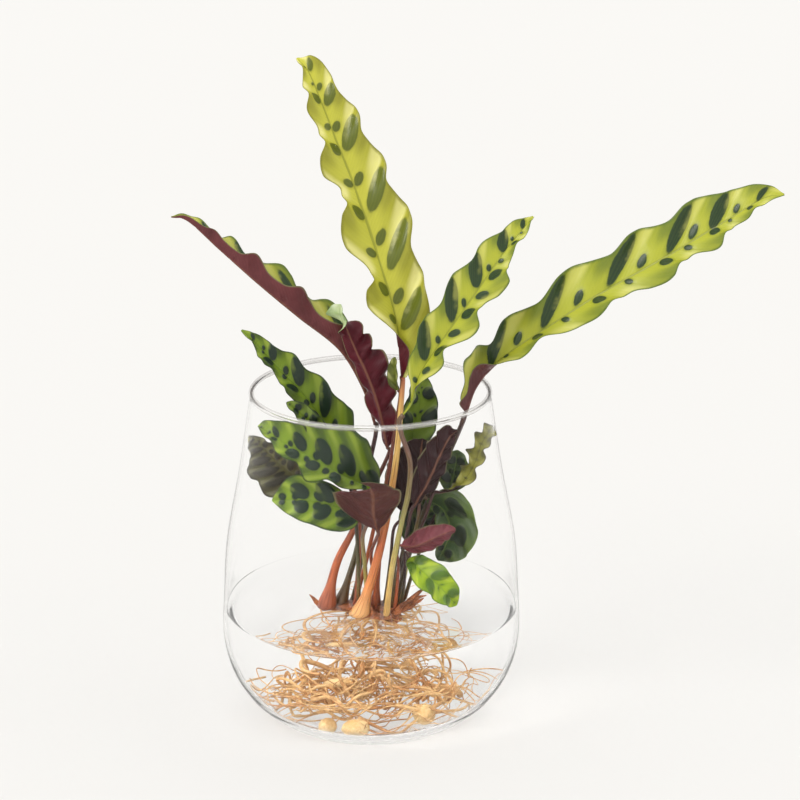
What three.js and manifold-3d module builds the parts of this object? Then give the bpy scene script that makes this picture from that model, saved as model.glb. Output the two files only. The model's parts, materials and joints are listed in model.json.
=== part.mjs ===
// Rattlesnake plant growing in water in a clear glass vase. Millimetres, +Z up.
// The origin is the middle of the vase's foot, on the surface that it stands on. The front is -Y.

import * as THREE from 'three';
import { mergeVertices } from 'three/addons/utils/BufferGeometryUtils.js';
import Module from 'manifold-3d';

const wasm = await Module();
wasm.setup();

// Driving dimensions of the vase and its water

const GAP = 0.3; // left between pieces that touch
const VASE_SIDES = 32;
const FOOT_RADIUS = 61.7; // the flat ring and disc that the vase stands on
const VASE_OUTSIDE = [ // radius, height
	[FOOT_RADIUS, 0], [69.8, 6], [79.9, 16], [88.8, 32], [93, 52],
	[92.1, 80], [89.4, 115], [80.9, 160], [74, 207],
];
const VASE_FLOOR = 7.2; // the wall is 2.8 mm thick and the floor 7 mm
const VASE_INSIDE = [ // radius, height
	[57, VASE_FLOOR], [66, 11], [76, 20], [85.6, 34], [90.2, 52],
	[89.3, 80], [86.5, 115], [78, 160], [71.2, 207],
];
const RIM_RADIUS = 72.6; // middle of the rounded lip
const RIM_HALF = 1.6;
const RIM_TOP = 210;
const WATER_LEVEL = 67.5;
const WATER_FOOT_HEIGHT = 9.5;
const WATER_HEIGHTS = [WATER_LEVEL, 60, 52, 43, 34, 27, 20, 15, 11]; // of its points along the wall
const WATER_CLEARANCE = 3 * GAP; // from the wall, which curves between these points
const WELL = [ // radius, height of the space in the water that the roots fill
	[58.5, WATER_FOOT_HEIGHT], [66, 18], [74, 28], [76, 38], [71, 47], [60, 55], [48, 61.5], [46, WATER_LEVEL],
];

// Driving dimensions of the plant

const BLADE_THICKNESS = 0.8;
const BLADE_END = 0.6; // half width where a blade starts and ends
const BLADE_WIDEST = 0.42; // share of the length
const BASE_FULLNESS = 0.62; // the lower, the fuller a blade is towards its foot
const TIP_FULLNESS = 0.55;
const VEIN_SLANT = 1.4; // a side vein runs forward this many times as far as it runs out
const WAVE_LEAN = 0.45; // the waves rise steeply and fall gently towards the tip
const CUP = 10; // degrees that a half blade turns up between midrib and margin
const CROSS_STEPS = 8;
const HALF_COLUMNS = 2;
const LARGE_ROWS = 32;
const MIDDLE_ROWS = 19;
const SMALL_ROWS = 12;
const STALK_SIDES = 6;
const STALK_STEPS = 7;
const STALK_APPROACH = 5; // the last stretch of a petiole runs straight into its blade
const SOCKET_SIDES = 6;
const SOCKET_LENGTH = 14;

// Driving dimensions of the roots

const COLLAR = { centre: [-1, 0, 49.1], radii: [13, 10, 3.6] }; // all roots start here, under the crown
const ROOT_COUNT = 14;
const ROOT_SIDES = 5;
const ROOT_STEPS = 8;
const ROOT_RADIUS = [1.3, 2];
const ROOT_REACH = [42, 63]; // how far from the middle a root turns down
const ROOT_HEIGHT = [28, 46]; // how high it passes there
const ROOT_REST = [14, 20]; // how high it ends
const ROOT_CURL = [0.5, 1.4]; // radians that it has curled round the vase by then, either way
const TUBERS = [ // water stores, which lie on the floor of the vase
	{ at: [-9, -45], radii: [11, 6.5, 6], turn: 10 },
	{ at: [-27, -41], radii: [8, 6, 5.5], turn: 60 },
	{ at: [34, -36], radii: [8, 6, 6.5], turn: 100 },
];
const TUBER_NECK_RADII = [1.6, 1.3, 1.3];

const COLOURS = {
	glass: 0xf3f6f4,
	water: 0xe6eeea,
	lime: 0xb9c832,
	green: 0x6e9632,
	dark: 0x4a6a38,
	olive: 0x8a8c3c,
	maroon: 0x5f2330,
	yellow: 0xe1b46e,
	tan: 0xa0965a,
	rust: 0xaa5a32,
	brown: 0x5c3a30,
	crown: 0x7a4a34,
	root: 0xc8a06e,
};

// One row for each leaf, from its foot to its tip. spine: the midrib. face: which way the upper side looks.
// Each half has its width, its fold up from the midrib and its wave in degrees, the share by which its
// outline swings, and the places of its wave crests along the margin. stem: the petiole's route from the
// crown, and thick: its radius at the crown and at the blade.

const LEAVES = [
	{
		name: 'leaf_top', rows: LARGE_ROWS, colour: 'lime', stalk: 'yellow', thick: [3.4, 1.6],
		spine: [[19, 2, 214], [14, 0, 250], [0, 4, 302], [-17, 10, 349], [-34, 16, 396], [-42, 20, 409]],
		face: [[0.1, -1, 0.3], [0.4, -0.9, 0.3], [0.4, -0.9, 0.3]],
		left: { width: 20, fold: [60, 32, 28], wave: 50, swing: 0.2, crests: [0.08, 0.3, 0.535, 0.745, 0.9] },
		right: {
			width: 25, fold: [30, 12, 8], wave: 52, swing: 0.2,
			crests: [0.03, 0.216, 0.415, 0.627, 0.784, 0.907],
		},
		stem: [[-9, -9, 60], [-6, -11, 68], [3, -12, 99], [8, -10, 120], [11, -9, 136], [16, -7, 170]],
	},
	{
		name: 'leaf_right_long', rows: LARGE_ROWS, colour: 'lime', stalk: 'brown', thick: [1.7, 1.5],
		spine: [
			[57, -12, 198], [65, -14, 217], [78, -17, 234], [117, -22, 260], [159, -28, 288], [198, -34, 318],
			[238, -40, 339],
		],
		face: [[-0.9, 0.3, 0.1], [-0.7, -0.3, 0.5], [-0.3, -0.8, 0.5], [-0.3, -0.8, 0.5], [-0.2, -0.8, 0.6]],
		left: {
			width: 22, fold: [40, 15, 5], wave: 50, swing: 0.2,
			crests: [0.06, 0.229, 0.429, 0.648, 0.8, 0.9],
		},
		right: {
			width: 19, fold: [60, 45, 40], wave: 45, swing: 0.15,
			crests: [0.1, 0.28, 0.43, 0.586, 0.7, 0.83, 0.92],
		},
		stem: [[16, 7, 61], [22, 12, 90], [38, 10, 140], [51, 4, 173]],
	},
	{
		name: 'leaf_right_mid', rows: LARGE_ROWS, colour: 'lime', stalk: 'tan', thick: [1.9, 1.5],
		spine: [
			[22, -22, 201], [26, -24, 217], [38, -26, 237], [55, -28, 263], [70, -28, 285], [84, -26, 307],
			[96, -22, 322],
		],
		face: [[-0.6, -0.8, 0.2], [-0.2, -0.9, 0.4], [-0.2, -0.9, 0.4]],
		left: { width: 18, fold: [40, 10, 5], wave: 46, swing: 0.16, crests: [0.16, 0.363, 0.588, 0.761, 0.89] },
		right: { width: 19, fold: [50, 38, 34], wave: 46, swing: 0.2, crests: [0.1, 0.294, 0.5, 0.705, 0.884] },
		stem: [[9, -11, 60], [13, -18, 98], [19, -20, 130], [23, -22, 150], [31, -22, 174], [32, -22, 189]],
	},
	{
		name: 'leaf_left_long', rows: LARGE_ROWS, colour: 'maroon', stalk: 'brown', thick: [2.2, 1.4],
		spine: [
			[2, 26, 179], [-10, 23, 218], [-22, 20, 233], [-51, 12, 261], [-79, 6, 286], [-108, 0, 313],
			[-117, -2, 316],
		],
		face: [[0.2, 0.3, 1]],
		left: { width: 15, fold: [62, 60, 55], wave: 30, swing: 0.16, crests: evenCrests(7, 0.3) },
		right: { width: 21, fold: [56, 52, 46], wave: 32, swing: 0.2, crests: evenCrests(7, 0.8) },
		stem: [[-21, 4, 61], [-15, 11, 79], [-8, 19, 103], [-3, 22, 143]],
	},
	{
		name: 'leaf_left_purple', rows: MIDDLE_ROWS, colour: 'maroon', stalk: 'rust', thick: [3.4, 1.2],
		spine: [[6, 6, 185], [1, 8, 208], [-6, 10, 223], [-13, 11, 239], [-16, 6, 254]],
		face: [[0.1, 1, 0.3], [0, 1, 0.3], [-0.2, 0.9, 0.3], [-0.8, -0.4, 0.3]],
		left: { width: 17, fold: [35, 15, 10], wave: 34, swing: 0.14, crests: evenCrests(8, 0.3) },
		right: { width: 12, fold: [40, 20, 10], wave: 34, swing: 0.14, crests: evenCrests(6, 0.3) },
		stem: [[-29, 0, 62], [-22, 2, 93], [-12, 4, 114], [-1, 4, 139], [6, 3, 159]],
	},
	{
		name: 'leaf_left_spotted', rows: MIDDLE_ROWS, colour: 'green', stalk: 'rust', thick: [1.6, 1.3],
		spine: [[-16, 6, 169], [-30, 0, 190], [-42, -5, 203], [-55, -10, 224], [-65, -12, 238], [-77, -12, 250]],
		face: [[0.2, -0.9, 0.4], [0.3, -0.8, 0.5]],
		left: { width: 11, fold: [40, 35, 30], wave: 32, swing: 0.14, crests: evenCrests(5, 0.3) },
		right: { width: 18, fold: [20, 5, 5], wave: 32, swing: 0.14, crests: evenCrests(4, 0.3) },
		stem: [[-10, 8, 61], [-8, 9, 95], [-8, 9, 127], [-13, 8, 153]],
	},
	{
		name: 'leaf_left_small', rows: SMALL_ROWS, colour: 'olive', stalk: 'brown', thick: [1.3, 1.1],
		spine: [[-25, -16, 178], [-35, -21, 192], [-42, -24, 202], [-50, -26, 209]],
		face: [[0.1, -0.9, 0.5]],
		left: { width: 7, fold: [30, 30], wave: 25, swing: 0.13, crests: evenCrests(4, 0.3) },
		right: { width: 8, fold: [20, 20], wave: 25, swing: 0.13, crests: evenCrests(4, 0.3) },
		stem: [[-8, -1, 61], [-8, -4, 90], [-9, -5, 120], [-12, -6, 145]],
	},
	{
		name: 'leaf_bud', rows: SMALL_ROWS, colour: 'green', stalk: 'rust', thick: [1.4, 1.1],
		spine: [[16, 8, 206], [13, 4, 215], [14, 3, 228]],
		face: [[-0.5, -0.8, 0.2]],
		left: { width: 5, fold: [60, 60], wave: 20, swing: 0.1, crests: evenCrests(2, 0.3) },
		right: { width: 5, fold: [50, 50], wave: 20, swing: 0.1, crests: evenCrests(2, 0.3) },
		stem: [[-12, 2, 61], [-3, 0, 97], [3, 0, 124], [10, 1, 151], [14, 4, 175]],
	},
	{
		name: 'leaf_back_dark', rows: SMALL_ROWS, colour: 'olive', stalk: 'brown', thick: [1.4, 1.1],
		spine: [[26, 26, 162], [28, 25, 174], [30, 24, 189], [31, 25, 207]],
		face: [[0.1, -1, 0.2]],
		left: { width: 12, fold: [40, 20, 15], wave: 30, swing: 0.13, crests: evenCrests(4, 0.3) },
		right: { width: 14, fold: [35, 15, 10], wave: 30, swing: 0.13, crests: evenCrests(4, 0.6) },
		stem: [[11, 12, 61], [17, 18, 101], [24, 25, 140]],
	},
	{
		name: 'leaf_glass_upper', rows: MIDDLE_ROWS, colour: 'green', stalk: 'rust', thick: [1.5, 1.3],
		spine: [[4, -9, 147], [-5, -16, 154], [-18, -24, 165], [-35, -29, 176], [-51, -29, 187], [-63, -22, 194]],
		face: [[0.1, -0.9, 0.4], [0.1, -0.9, 0.35], [0.1, -0.9, 0.5]],
		left: { width: 13, fold: [20, 20, 30], wave: 28, swing: 0.13, crests: evenCrests(4, 0.4) },
		right: { width: 20, fold: [20, 10, 15], wave: 28, swing: 0.13, crests: evenCrests(4, 0.35) },
		stem: [[2, 3, 61], [5, 2, 97], [5, -2, 125]],
	},
	{
		name: 'leaf_glass_far', rows: MIDDLE_ROWS, colour: 'olive', stalk: 'brown', thick: [1.3, 1.1],
		spine: [[-28, 0, 150], [-44, -4, 160], [-59, -8, 171], [-69, -9, 180]],
		face: [[-0.3, -0.9, 0.2], [-0.4, -0.9, 0.3]],
		left: { width: 20, fold: [20, 10], wave: 34, swing: 0.13, crests: evenCrests(5, 0.3) },
		right: { width: 10, fold: [20, 10], wave: 34, swing: 0.13, crests: evenCrests(4, 0.3) },
		stem: [[-13, 11, 61], [-6, 14, 95], [-8, 13, 120], [-18, 5, 139]],
	},
	{
		name: 'leaf_glass_lower', rows: MIDDLE_ROWS, colour: 'green', stalk: 'tan', thick: [1.5, 1.3],
		spine: [[-9, -14, 135], [-26, -19, 142], [-41, -21, 145], [-59, -20, 144]],
		face: [[0, -0.9, 0.3]],
		left: { width: 17, fold: [15, 10], wave: 14, swing: 0.1, crests: evenCrests(4, 0.4) },
		right: { width: 16, fold: [15, 5], wave: 14, swing: 0.1, crests: evenCrests(4, 0.3) },
		stem: [[-2, -3, 61], [-3, -4, 80], [-4, -9, 100], [-5, -13, 118]],
	},
	{
		name: 'leaf_front_purple', rows: SMALL_ROWS, colour: 'maroon', stalk: 'rust', thick: [1.2, 1.1],
		widest: 0.75,
		spine: [[4, -17, 124], [2, -28, 139], [2, -38, 153], [1, -42, 159], [0, -39, 163]],
		face: [[0, 0.9, 0.4], [0, 0.9, 0.4], [0, 0.8, 0.6], [0, 0.5, 0.8]],
		left: { width: 17, fold: [15, 5, -5], wave: 15, swing: 0.1, crests: evenCrests(3, 0.3) },
		right: { width: 25, fold: [15, 5, 0], wave: 15, swing: 0.1, crests: evenCrests(3, 0.3) },
		stem: [[3, -4, 61], [2, -4, 85], [0, -9, 104], [3, -14, 116]],
	},
	{
		name: 'leaf_centre_dark', rows: MIDDLE_ROWS, colour: 'maroon', stalk: 'brown', thick: [1.2, 1.0],
		spine: [[18, 10, 128], [19, 9, 147], [22, 8, 170], [25, 7, 195]],
		face: [[0.1, 1, 0.2]],
		left: { width: 13, fold: [30, 20], wave: 25, swing: 0.13, crests: evenCrests(5, 0.3) },
		right: { width: 9, fold: [30, 20], wave: 25, swing: 0.13, crests: evenCrests(5, 0.3) },
		stem: [[8, 5, 61], [12, 8, 94], [14, 9, 114]],
	},
	{
		name: 'leaf_right_purple', rows: MIDDLE_ROWS, colour: 'maroon', stalk: 'brown', thick: [1.3, 1.1],
		spine: [[27, -4, 135], [35, -8, 151], [42, -9, 168], [48, -10, 181], [53, -12, 187]],
		face: [[0.2, 1, 0.3], [0.3, 1, 0.3], [0.3, 0.8, 0.5]],
		left: { width: 10, fold: [30, 20], wave: 34, swing: 0.13, crests: evenCrests(5, 0.3) },
		right: { width: 15, fold: [30, 20], wave: 34, swing: 0.13, crests: evenCrests(5, 0.3) },
		stem: [[12, -3, 61], [17, -4, 92], [22, -4, 115]],
	},
	{
		name: 'leaf_right_rippled', rows: MIDDLE_ROWS, colour: 'olive', stalk: 'brown', thick: [1.2, 1.0],
		spine: [[43, -2, 142], [57, -6, 147], [64, -8, 158], [68, -8, 171], [72, -6, 185]],
		face: [[-0.3, -0.6, 0.8], [-0.9, -0.5, 0.3], [-0.9, -0.5, 0.3]],
		left: { width: 7, fold: [40, 30], wave: 38, swing: 0.13, crests: evenCrests(5, 0.3) },
		right: { width: 10, fold: [50, 40], wave: 38, swing: 0.13, crests: evenCrests(5, 0.8) },
		stem: [[14, 0, 61], [23, 1, 97], [33, 0, 124]],
	},
	{
		name: 'leaf_right_upper', rows: SMALL_ROWS, colour: 'dark', stalk: 'brown', thick: [1.2, 1.0],
		spine: [[48, 18, 136], [51, 20, 144], [53, 19, 154], [54, 17, 164]],
		face: [[-0.1, -0.9, 0.5]],
		left: { width: 11, fold: [30, 10], wave: 22, swing: 0.1, crests: evenCrests(3, 0.3) },
		right: { width: 12, fold: [30, 10], wave: 22, swing: 0.1, crests: evenCrests(3, 0.3) },
		stem: [[19, 8, 61], [31, 12, 100], [41, 15, 123]],
	},
	{
		name: 'leaf_right_lower', rows: MIDDLE_ROWS, colour: 'dark', stalk: 'tan', thick: [1.2, 1.0],
		spine: [[35, 6, 135], [45, 6, 128], [49, 4, 114], [42, 2, 96]],
		face: [[-0.2, -0.9, 0.4], [0, -1, 0.2]],
		left: { width: 21, fold: [35, 15], wave: 22, swing: 0.1, crests: evenCrests(3, 0.3) },
		right: { width: 9, fold: [30, 20], wave: 22, swing: 0.1, crests: evenCrests(3, 0.3) },
		stem: [[17, 3, 61], [23, 4, 95], [29, 4, 122]],
	},
	{
		name: 'leaf_small_purple', rows: SMALL_ROWS, colour: 'maroon', stalk: 'rust', thick: [1.1, 0.9],
		spine: [[19, -8, 110], [27, -14, 112], [40, -17, 119], [52, -15, 124]],
		face: [[0, 0.9, 0.5]],
		left: { width: 6.5, fold: [20, 20], wave: 25, swing: 0.13, crests: evenCrests(4, 0.3) },
		right: { width: 7, fold: [20, 20], wave: 25, swing: 0.13, crests: evenCrests(4, 0.3) },
		stem: [[14, -7, 60], [16, -8, 80], [17, -7, 97]],
	},
	{
		name: 'leaf_small_green', rows: SMALL_ROWS, colour: 'green', stalk: 'brown', thick: [1.1, 0.9],
		spine: [[24, -6, 101], [32, -16, 96], [43, -20, 87], [53, -20, 75]],
		face: [[0.1, -0.8, 0.6]],
		left: { width: 10, fold: [15, 15], wave: 18, swing: 0.1, crests: evenCrests(4, 0.3) },
		right: { width: 10, fold: [15, 15], wave: 18, swing: 0.1, crests: evenCrests(4, 0.3) },
		stem: [[17, -4, 61], [20, -4, 77], [21, -4, 89]],
	},
	{
		name: 'leaf_low_back', rows: SMALL_ROWS, colour: 'dark', stalk: 'brown', thick: [1.1, 0.9],
		spine: [[22, 20, 104], [29, 21, 111], [40, 21, 121], [48, 19, 128]],
		face: [[-0.1, -0.9, 0.4]],
		left: { width: 9, fold: [20, 20], wave: 22, swing: 0.13, crests: evenCrests(4, 0.3) },
		right: { width: 9, fold: [20, 20], wave: 22, swing: 0.13, crests: evenCrests(4, 0.3) },
		stem: [[18, 12, 61], [19, 17, 82], [20, 19, 96]],
	},
];

// The crown: a short creeping rootstock, the swellings that the petioles stand in, and dry sheath scraps

const ROOTSTOCK = [[-32, 0, 60], [-20, 2, 60], [-8, 2, 60], [6, 0, 60], [18, 4, 60], [24, 6, 62]];
const ROOTSTOCK_RADII = [5, 6.2, 6.8, 7, 6.5, 4];
const SWELLINGS = [
	{ centre: [-7, -7, 60], radii: [9, 7, 6.4] },
	{ centre: [8, -7, 60], radii: [10, 8, 6.6] },
	{ centre: [12, 9, 60], radii: [12, 8, 6.4] },
	{ centre: [-15, 9, 60], radii: [8, 7, 6] },
];
const SCRAPS = [
	[[17, -6, 60], [22, -9, 67], [26, -10, 75]],
	[[18, 2, 61], [26, 0, 68], [30, -2, 79]],
	[[-30, 3, 61], [-34, 4, 70], [-32, 5, 78]],
	[[4, -11, 60], [6, -16, 65], [6, -18, 72]],
];
const SCRAP_RADII = [2.8, 2.2, 0.7];

// Small helpers

function vector(point) {
	return new THREE.Vector3(...point);
}

/** Crest places for a margin with count even waves, the first one start waves from the foot. */
function evenCrests(count, start) {
	return Array.from({ length: count + 1 }, (_, index) => (index + start) / count);
}

/** The value at share t of a row of numbers or points that stand evenly along the blade. */
function along(values, t) {
	if (!Array.isArray(values)) return values;
	const place = THREE.MathUtils.clamp(t, 0, 1) * (values.length - 1);
	const index = Math.min(Math.floor(place), Math.max(values.length - 2, 0));
	const next = values[Math.min(index + 1, values.length - 1)];
	const share = place - index;
	if (Array.isArray(next)) return values[index].map((value, axis) => value + (next[axis] - value) * share);
	return values[index] + (next - values[index]) * share;
}

/** The number at that share of the way between two others. */
function between([low, high], share) {
	return low + (high - low) * share;
}

/** Smooth curve through the points. */
function curveThrough(points) {
	const knots = points.map((point) => (point.isVector3 ? point : vector(point)));
	return new THREE.CatmullRomCurve3(knots, false, 'catmullrom', 0.5);
}

function geometryOf(vertices, triangles) {
	const geometry = new THREE.BufferGeometry();
	geometry.setAttribute('position', new THREE.Float32BufferAttribute(vertices, 3));
	geometry.setIndex(triangles);
	return geometry;
}

function solidOf(geometry) {
	const bare = geometry.clone();
	bare.deleteAttribute('normal');
	bare.deleteAttribute('uv');
	const merged = mergeVertices(bare, 1e-4);
	const vertProperties = new Float32Array(merged.attributes.position.array);
	const triVerts = new Uint32Array(merged.index.array);
	return new wasm.Manifold(new wasm.Mesh({ numProp: 3, vertProperties, triVerts }));
}

function geometryFrom(solid) {
	const mesh = solid.getMesh();
	return geometryOf(Array.from(mesh.vertProperties), Array.from(mesh.triVerts));
}

/** A profile of radii and heights turned about the vertical axis. */
function turned(points) {
	const profile = points.map(([radius, height]) => new THREE.Vector2(radius, height));
	return new THREE.LatheGeometry(profile, VASE_SIDES).rotateX(Math.PI / 2);
}

function smoothOutline(points, count) {
	return new THREE.SplineCurve(points.map(([radius, height]) => new THREE.Vector2(radius, height)))
		.getPoints(count).map((point) => [point.x, point.y]);
}

/** Closed round bar along a curve; radii run evenly from its first end to its last. */
function bar(curve, radii, sides, steps) {
	const vertices = [];
	const triangles = [];
	const frames = curve.computeFrenetFrames(steps, false);
	for (let step = 0; step <= steps; step += 1) {
		const middle = curve.getPointAt(step / steps);
		const radius = along(radii, step / steps);
		for (let side = 0; side < sides; side += 1) {
			const angle = (side / sides) * 2 * Math.PI;
			const out = frames.normals[step].clone().multiplyScalar(Math.cos(angle))
				.addScaledVector(frames.binormals[step], Math.sin(angle));
			vertices.push(...middle.clone().addScaledVector(out, radius).toArray());
		}
	}
	for (let step = 0; step < steps; step += 1) {
		for (let side = 0; side < sides; side += 1) {
			const next = (side + 1) % sides;
			const [a, b] = [step * sides + side, step * sides + next];
			triangles.push(a, b, b + sides, a, b + sides, a + sides);
		}
	}
	const last = steps * sides;
	for (let side = 1; side < sides - 1; side += 1) {
		triangles.push(0, side + 1, side, last, last + side, last + side + 1);
	}
	return geometryOf(vertices, triangles);
}

function egg({ centre, radii, turn = 0 }) {
	const geometry = new THREE.SphereGeometry(1, 9, 6);
	geometry.rotateX(Math.PI / 2);
	geometry.scale(...radii);
	geometry.rotateZ(THREE.MathUtils.degToRad(turn));
	return geometry.translate(...centre);
}

// Leaves

/** Half width as a share of the widest: a rounded lance shape, fuller towards the tip. */
function lance(t, widest) {
	if (t < widest) return Math.sin((Math.PI / 2) * (t / widest)) ** BASE_FULLNESS;
	return Math.max(Math.sin((Math.PI / 2) * ((1 - t) / (1 - widest))), 0) ** TIP_FULLNESS;
}

/** Counts the wave crests along a margin, running on evenly past the first and the last one. */
function waveCount(place, crests) {
	const last = crests.length - 1;
	if (place <= crests[0]) return (place - crests[0]) / (crests[1] - crests[0]);
	if (place >= crests[last]) return last + (place - crests[last]) / (crests[last] - crests[last - 1]);
	const index = crests.findIndex((crest, at) => place < crests[at + 1]);
	return index + (place - crests[index]) / (crests[index + 1] - crests[index]);
}

/**
 * Points across one half blade, from the midrib out. The half is a strip bent along its width: its slope at
 * a share v of the way out is fold + cup * v + wave * v * w, where w swings between -1 and 1 with the
 * crests, whose lines run slantwise along the side veins.
 */
function acrossHalf(half, t, length, widest) {
	const reach = BLADE_END + (half.width - BLADE_END) * lance(t, widest);
	const points = [];
	let [out, up] = [0, 0];
	for (let step = 0; step < CROSS_STEPS; step += 1) {
		const v = (step + 0.5) / CROSS_STEPS;
		const place = t + VEIN_SLANT * (reach / length) * (1 - v);
		const angle = 2 * Math.PI * waveCount(place, half.crests);
		const swell = Math.cos(angle + WAVE_LEAN * (Math.cos(angle) - 1));
		const slope = THREE.MathUtils.degToRad(along(half.fold, t) + CUP * v + half.wave * v * swell);
		const stretch = (reach / CROSS_STEPS) * (1 + half.swing * swell);
		out += stretch * Math.cos(slope);
		up += stretch * Math.sin(slope);
		points.push([out, up]);
	}
	const stride = CROSS_STEPS / HALF_COLUMNS;
	return points.filter((_, index) => (index + 1) % stride === 0);
}

/** One blade as a closed sheet of even thickness, cut into the same triangles above and below. */
function blade(leaf) {
	const curve = curveThrough(leaf.spine);
	const length = curve.getLength();
	const widest = leaf.widest ?? BLADE_WIDEST;
	const columns = 2 * HALF_COLUMNS + 1;
	const grid = [];
	for (let row = 0; row <= leaf.rows; row += 1) {
		const t = row / leaf.rows;
		const middle = curve.getPointAt(t);
		const forward = curve.getTangentAt(t);
		const face = vector(along(leaf.face, t));
		const up = face.addScaledVector(forward, -face.dot(forward)).normalize();
		const side = new THREE.Vector3().crossVectors(forward, up);
		const pointAt = (out, rise) => middle.clone().addScaledVector(side, out).addScaledVector(up, rise);
		const left = acrossHalf(leaf.left, t, length, widest).map(([out, rise]) => pointAt(-out, rise)).reverse();
		const right = acrossHalf(leaf.right, t, length, widest).map(([out, rise]) => pointAt(out, rise));
		grid.push([...left, middle, ...right]);
	}
	const above = [];
	const below = [];
	grid.forEach((line, row) => line.forEach((point, column) => {
		const [lineBefore, lineAfter] = [grid[Math.max(row - 1, 0)], grid[Math.min(row + 1, leaf.rows)]];
		const alongBlade = lineAfter[column].clone().sub(lineBefore[column]);
		const acrossBlade = line[Math.min(column + 1, columns - 1)].clone().sub(line[Math.max(column - 1, 0)]);
		const normal = acrossBlade.cross(alongBlade).normalize();
		above.push(...point.clone().addScaledVector(normal, BLADE_THICKNESS / 2).toArray());
		below.push(...point.clone().addScaledVector(normal, -BLADE_THICKNESS / 2).toArray());
	}));
	return geometryOf([...above, ...below], sheetTriangles(leaf.rows, columns));
}

/** Triangles of a sheet whose upper points come first and its lower points after them, row by row. */
function sheetTriangles(rows, columns) {
	const under = (rows + 1) * columns;
	const triangles = [];
	for (let row = 0; row < rows; row += 1) {
		for (let column = 0; column < columns - 1; column += 1) {
			const a = row * columns + column;
			const [b, c, d] = [a + 1, a + columns + 1, a + columns];
			triangles.push(a, b, c, a, c, d);
			triangles.push(under + a, under + c, under + b, under + a, under + d, under + c);
		}
		const [left, right] = [row * columns, row * columns + columns - 1];
		const [nextLeft, nextRight] = [left + columns, right + columns];
		triangles.push(left, nextLeft, under + nextLeft, left, under + nextLeft, under + left);
		triangles.push(right, under + nextRight, nextRight, right, under + right, under + nextRight);
	}
	for (let column = 0; column < columns - 1; column += 1) {
		const [near, far] = [column, rows * columns + column];
		triangles.push(near, under + near + 1, near + 1, near, under + near, under + near + 1);
		triangles.push(far, far + 1, under + far + 1, far, under + far + 1, under + far);
	}
	return triangles;
}

/** Route of a petiole: from its foot in the crown to just short of the blade, which it meets end on. */
function stalkCurve(leaf) {
	const foot = vector(leaf.spine[0]);
	const forward = curveThrough(leaf.spine).getTangentAt(0);
	const end = foot.clone().addScaledVector(forward, -GAP);
	const approach = foot.clone().addScaledVector(forward, -STALK_APPROACH);
	return curveThrough([...leaf.stem.map(vector), approach, end]);
}

/** Radii of a petiole from its foot up: its lowest part swells into a sheath, the rest is even. */
function stalkRadii({ thick: [foot, top] }) {
	return [foot * 0.9, foot, foot * 0.85, (foot + top) / 2, top, top, top, top];
}

// Crown and roots

/** The room that a petiole stands in, grown by the gap all round. */
function socket(leaf) {
	const curve = stalkCurve(leaf);
	const foot = curve.getPointAt(0);
	const forward = curve.getPointAt(1 / STALK_STEPS).sub(foot).normalize();
	const ends = [-2 * GAP, SOCKET_LENGTH].map((distance) => foot.clone().addScaledVector(forward, distance));
	const radius = (leaf.thick[0] + GAP) / Math.cos(Math.PI / SOCKET_SIDES);
	return bar(curveThrough(ends), [radius, radius], SOCKET_SIDES, 1);
}

function crown() {
	let body = solidOf(bar(curveThrough(ROOTSTOCK), ROOTSTOCK_RADII, 8, 10));
	for (const swelling of SWELLINGS) body = body.add(solidOf(egg(swelling)));
	for (const scrap of SCRAPS) body = body.add(solidOf(bar(curveThrough(scrap), SCRAP_RADII, 5, 4)));
	for (const leaf of LEAVES) body = body.subtract(solidOf(socket(leaf)));
	return geometryFrom(body);
}

/** A number between 0 and 1 that looks random but is always the same for the same index and kind. */
function scatter(index, kind) {
	const value = Math.sin(index * 12.9898 + kind * 78.233) * 43758.5453;
	return value - Math.floor(value);
}

/**
 * Route of one root: out of the collar, down and out to the wall of the vase, then curling along the
 * floor round the vase.
 */
function rootCurve(index) {
	const angle = ((index + 0.4 * (scatter(index, 1) - 0.5)) / ROOT_COUNT) * 2 * Math.PI;
	const curl = (scatter(index, 2) < 0.5 ? -1 : 1) * between(ROOT_CURL, scatter(index, 3));
	const reach = between(ROOT_REACH, scatter(index, 4));
	const height = between(ROOT_HEIGHT, scatter(index, 5));
	const rest = between(ROOT_REST, scatter(index, 6));
	const start = COLLAR.centre[2];
	const route = [ // share of the reach, share of the curl, height
		[0.1, 0, start], [0.35, 0, start - 3], [0.75, 0.1, height],
		[1, 0.3, height - 12], [0.92, 0.6, rest], [0.75, 1, rest - 1],
	];
	return curveThrough(route.map(([far, turn, z]) => {
		const way = angle + curl * turn;
		return [far * reach * Math.cos(way), far * reach * Math.sin(way), z];
	}));
}

/** A water store lying on the floor of the vase, and the thin root that leads to it. */
function tuberWithNeck({ at: [x, y], radii, turn }) {
	const centre = [x, y, VASE_FLOOR + GAP + radii[2]];
	const start = COLLAR.centre[2];
	const knee = [0.6 * x, 0.55 * y, start - 8];
	const drop = [0.95 * x, 0.9 * y, start - 22];
	const route = [[0.1 * x, 0.1 * y, start], knee, drop, centre];
	const neck = bar(curveThrough(route), TUBER_NECK_RADII, ROOT_SIDES, ROOT_STEPS);
	return solidOf(egg({ centre, radii, turn })).add(solidOf(neck));
}

function roots() {
	let body = solidOf(egg(COLLAR));
	for (let index = 0; index < ROOT_COUNT; index += 1) {
		const radius = between(ROOT_RADIUS, scatter(index, 7));
		const radii = [radius * 1.25, radius, radius, radius * 0.6];
		body = body.add(solidOf(bar(rootCurve(index), radii, ROOT_SIDES, ROOT_STEPS)));
	}
	for (const tuber of TUBERS) body = body.add(tuberWithNeck(tuber));
	return geometryFrom(body);
}

// Vase and water

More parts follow.
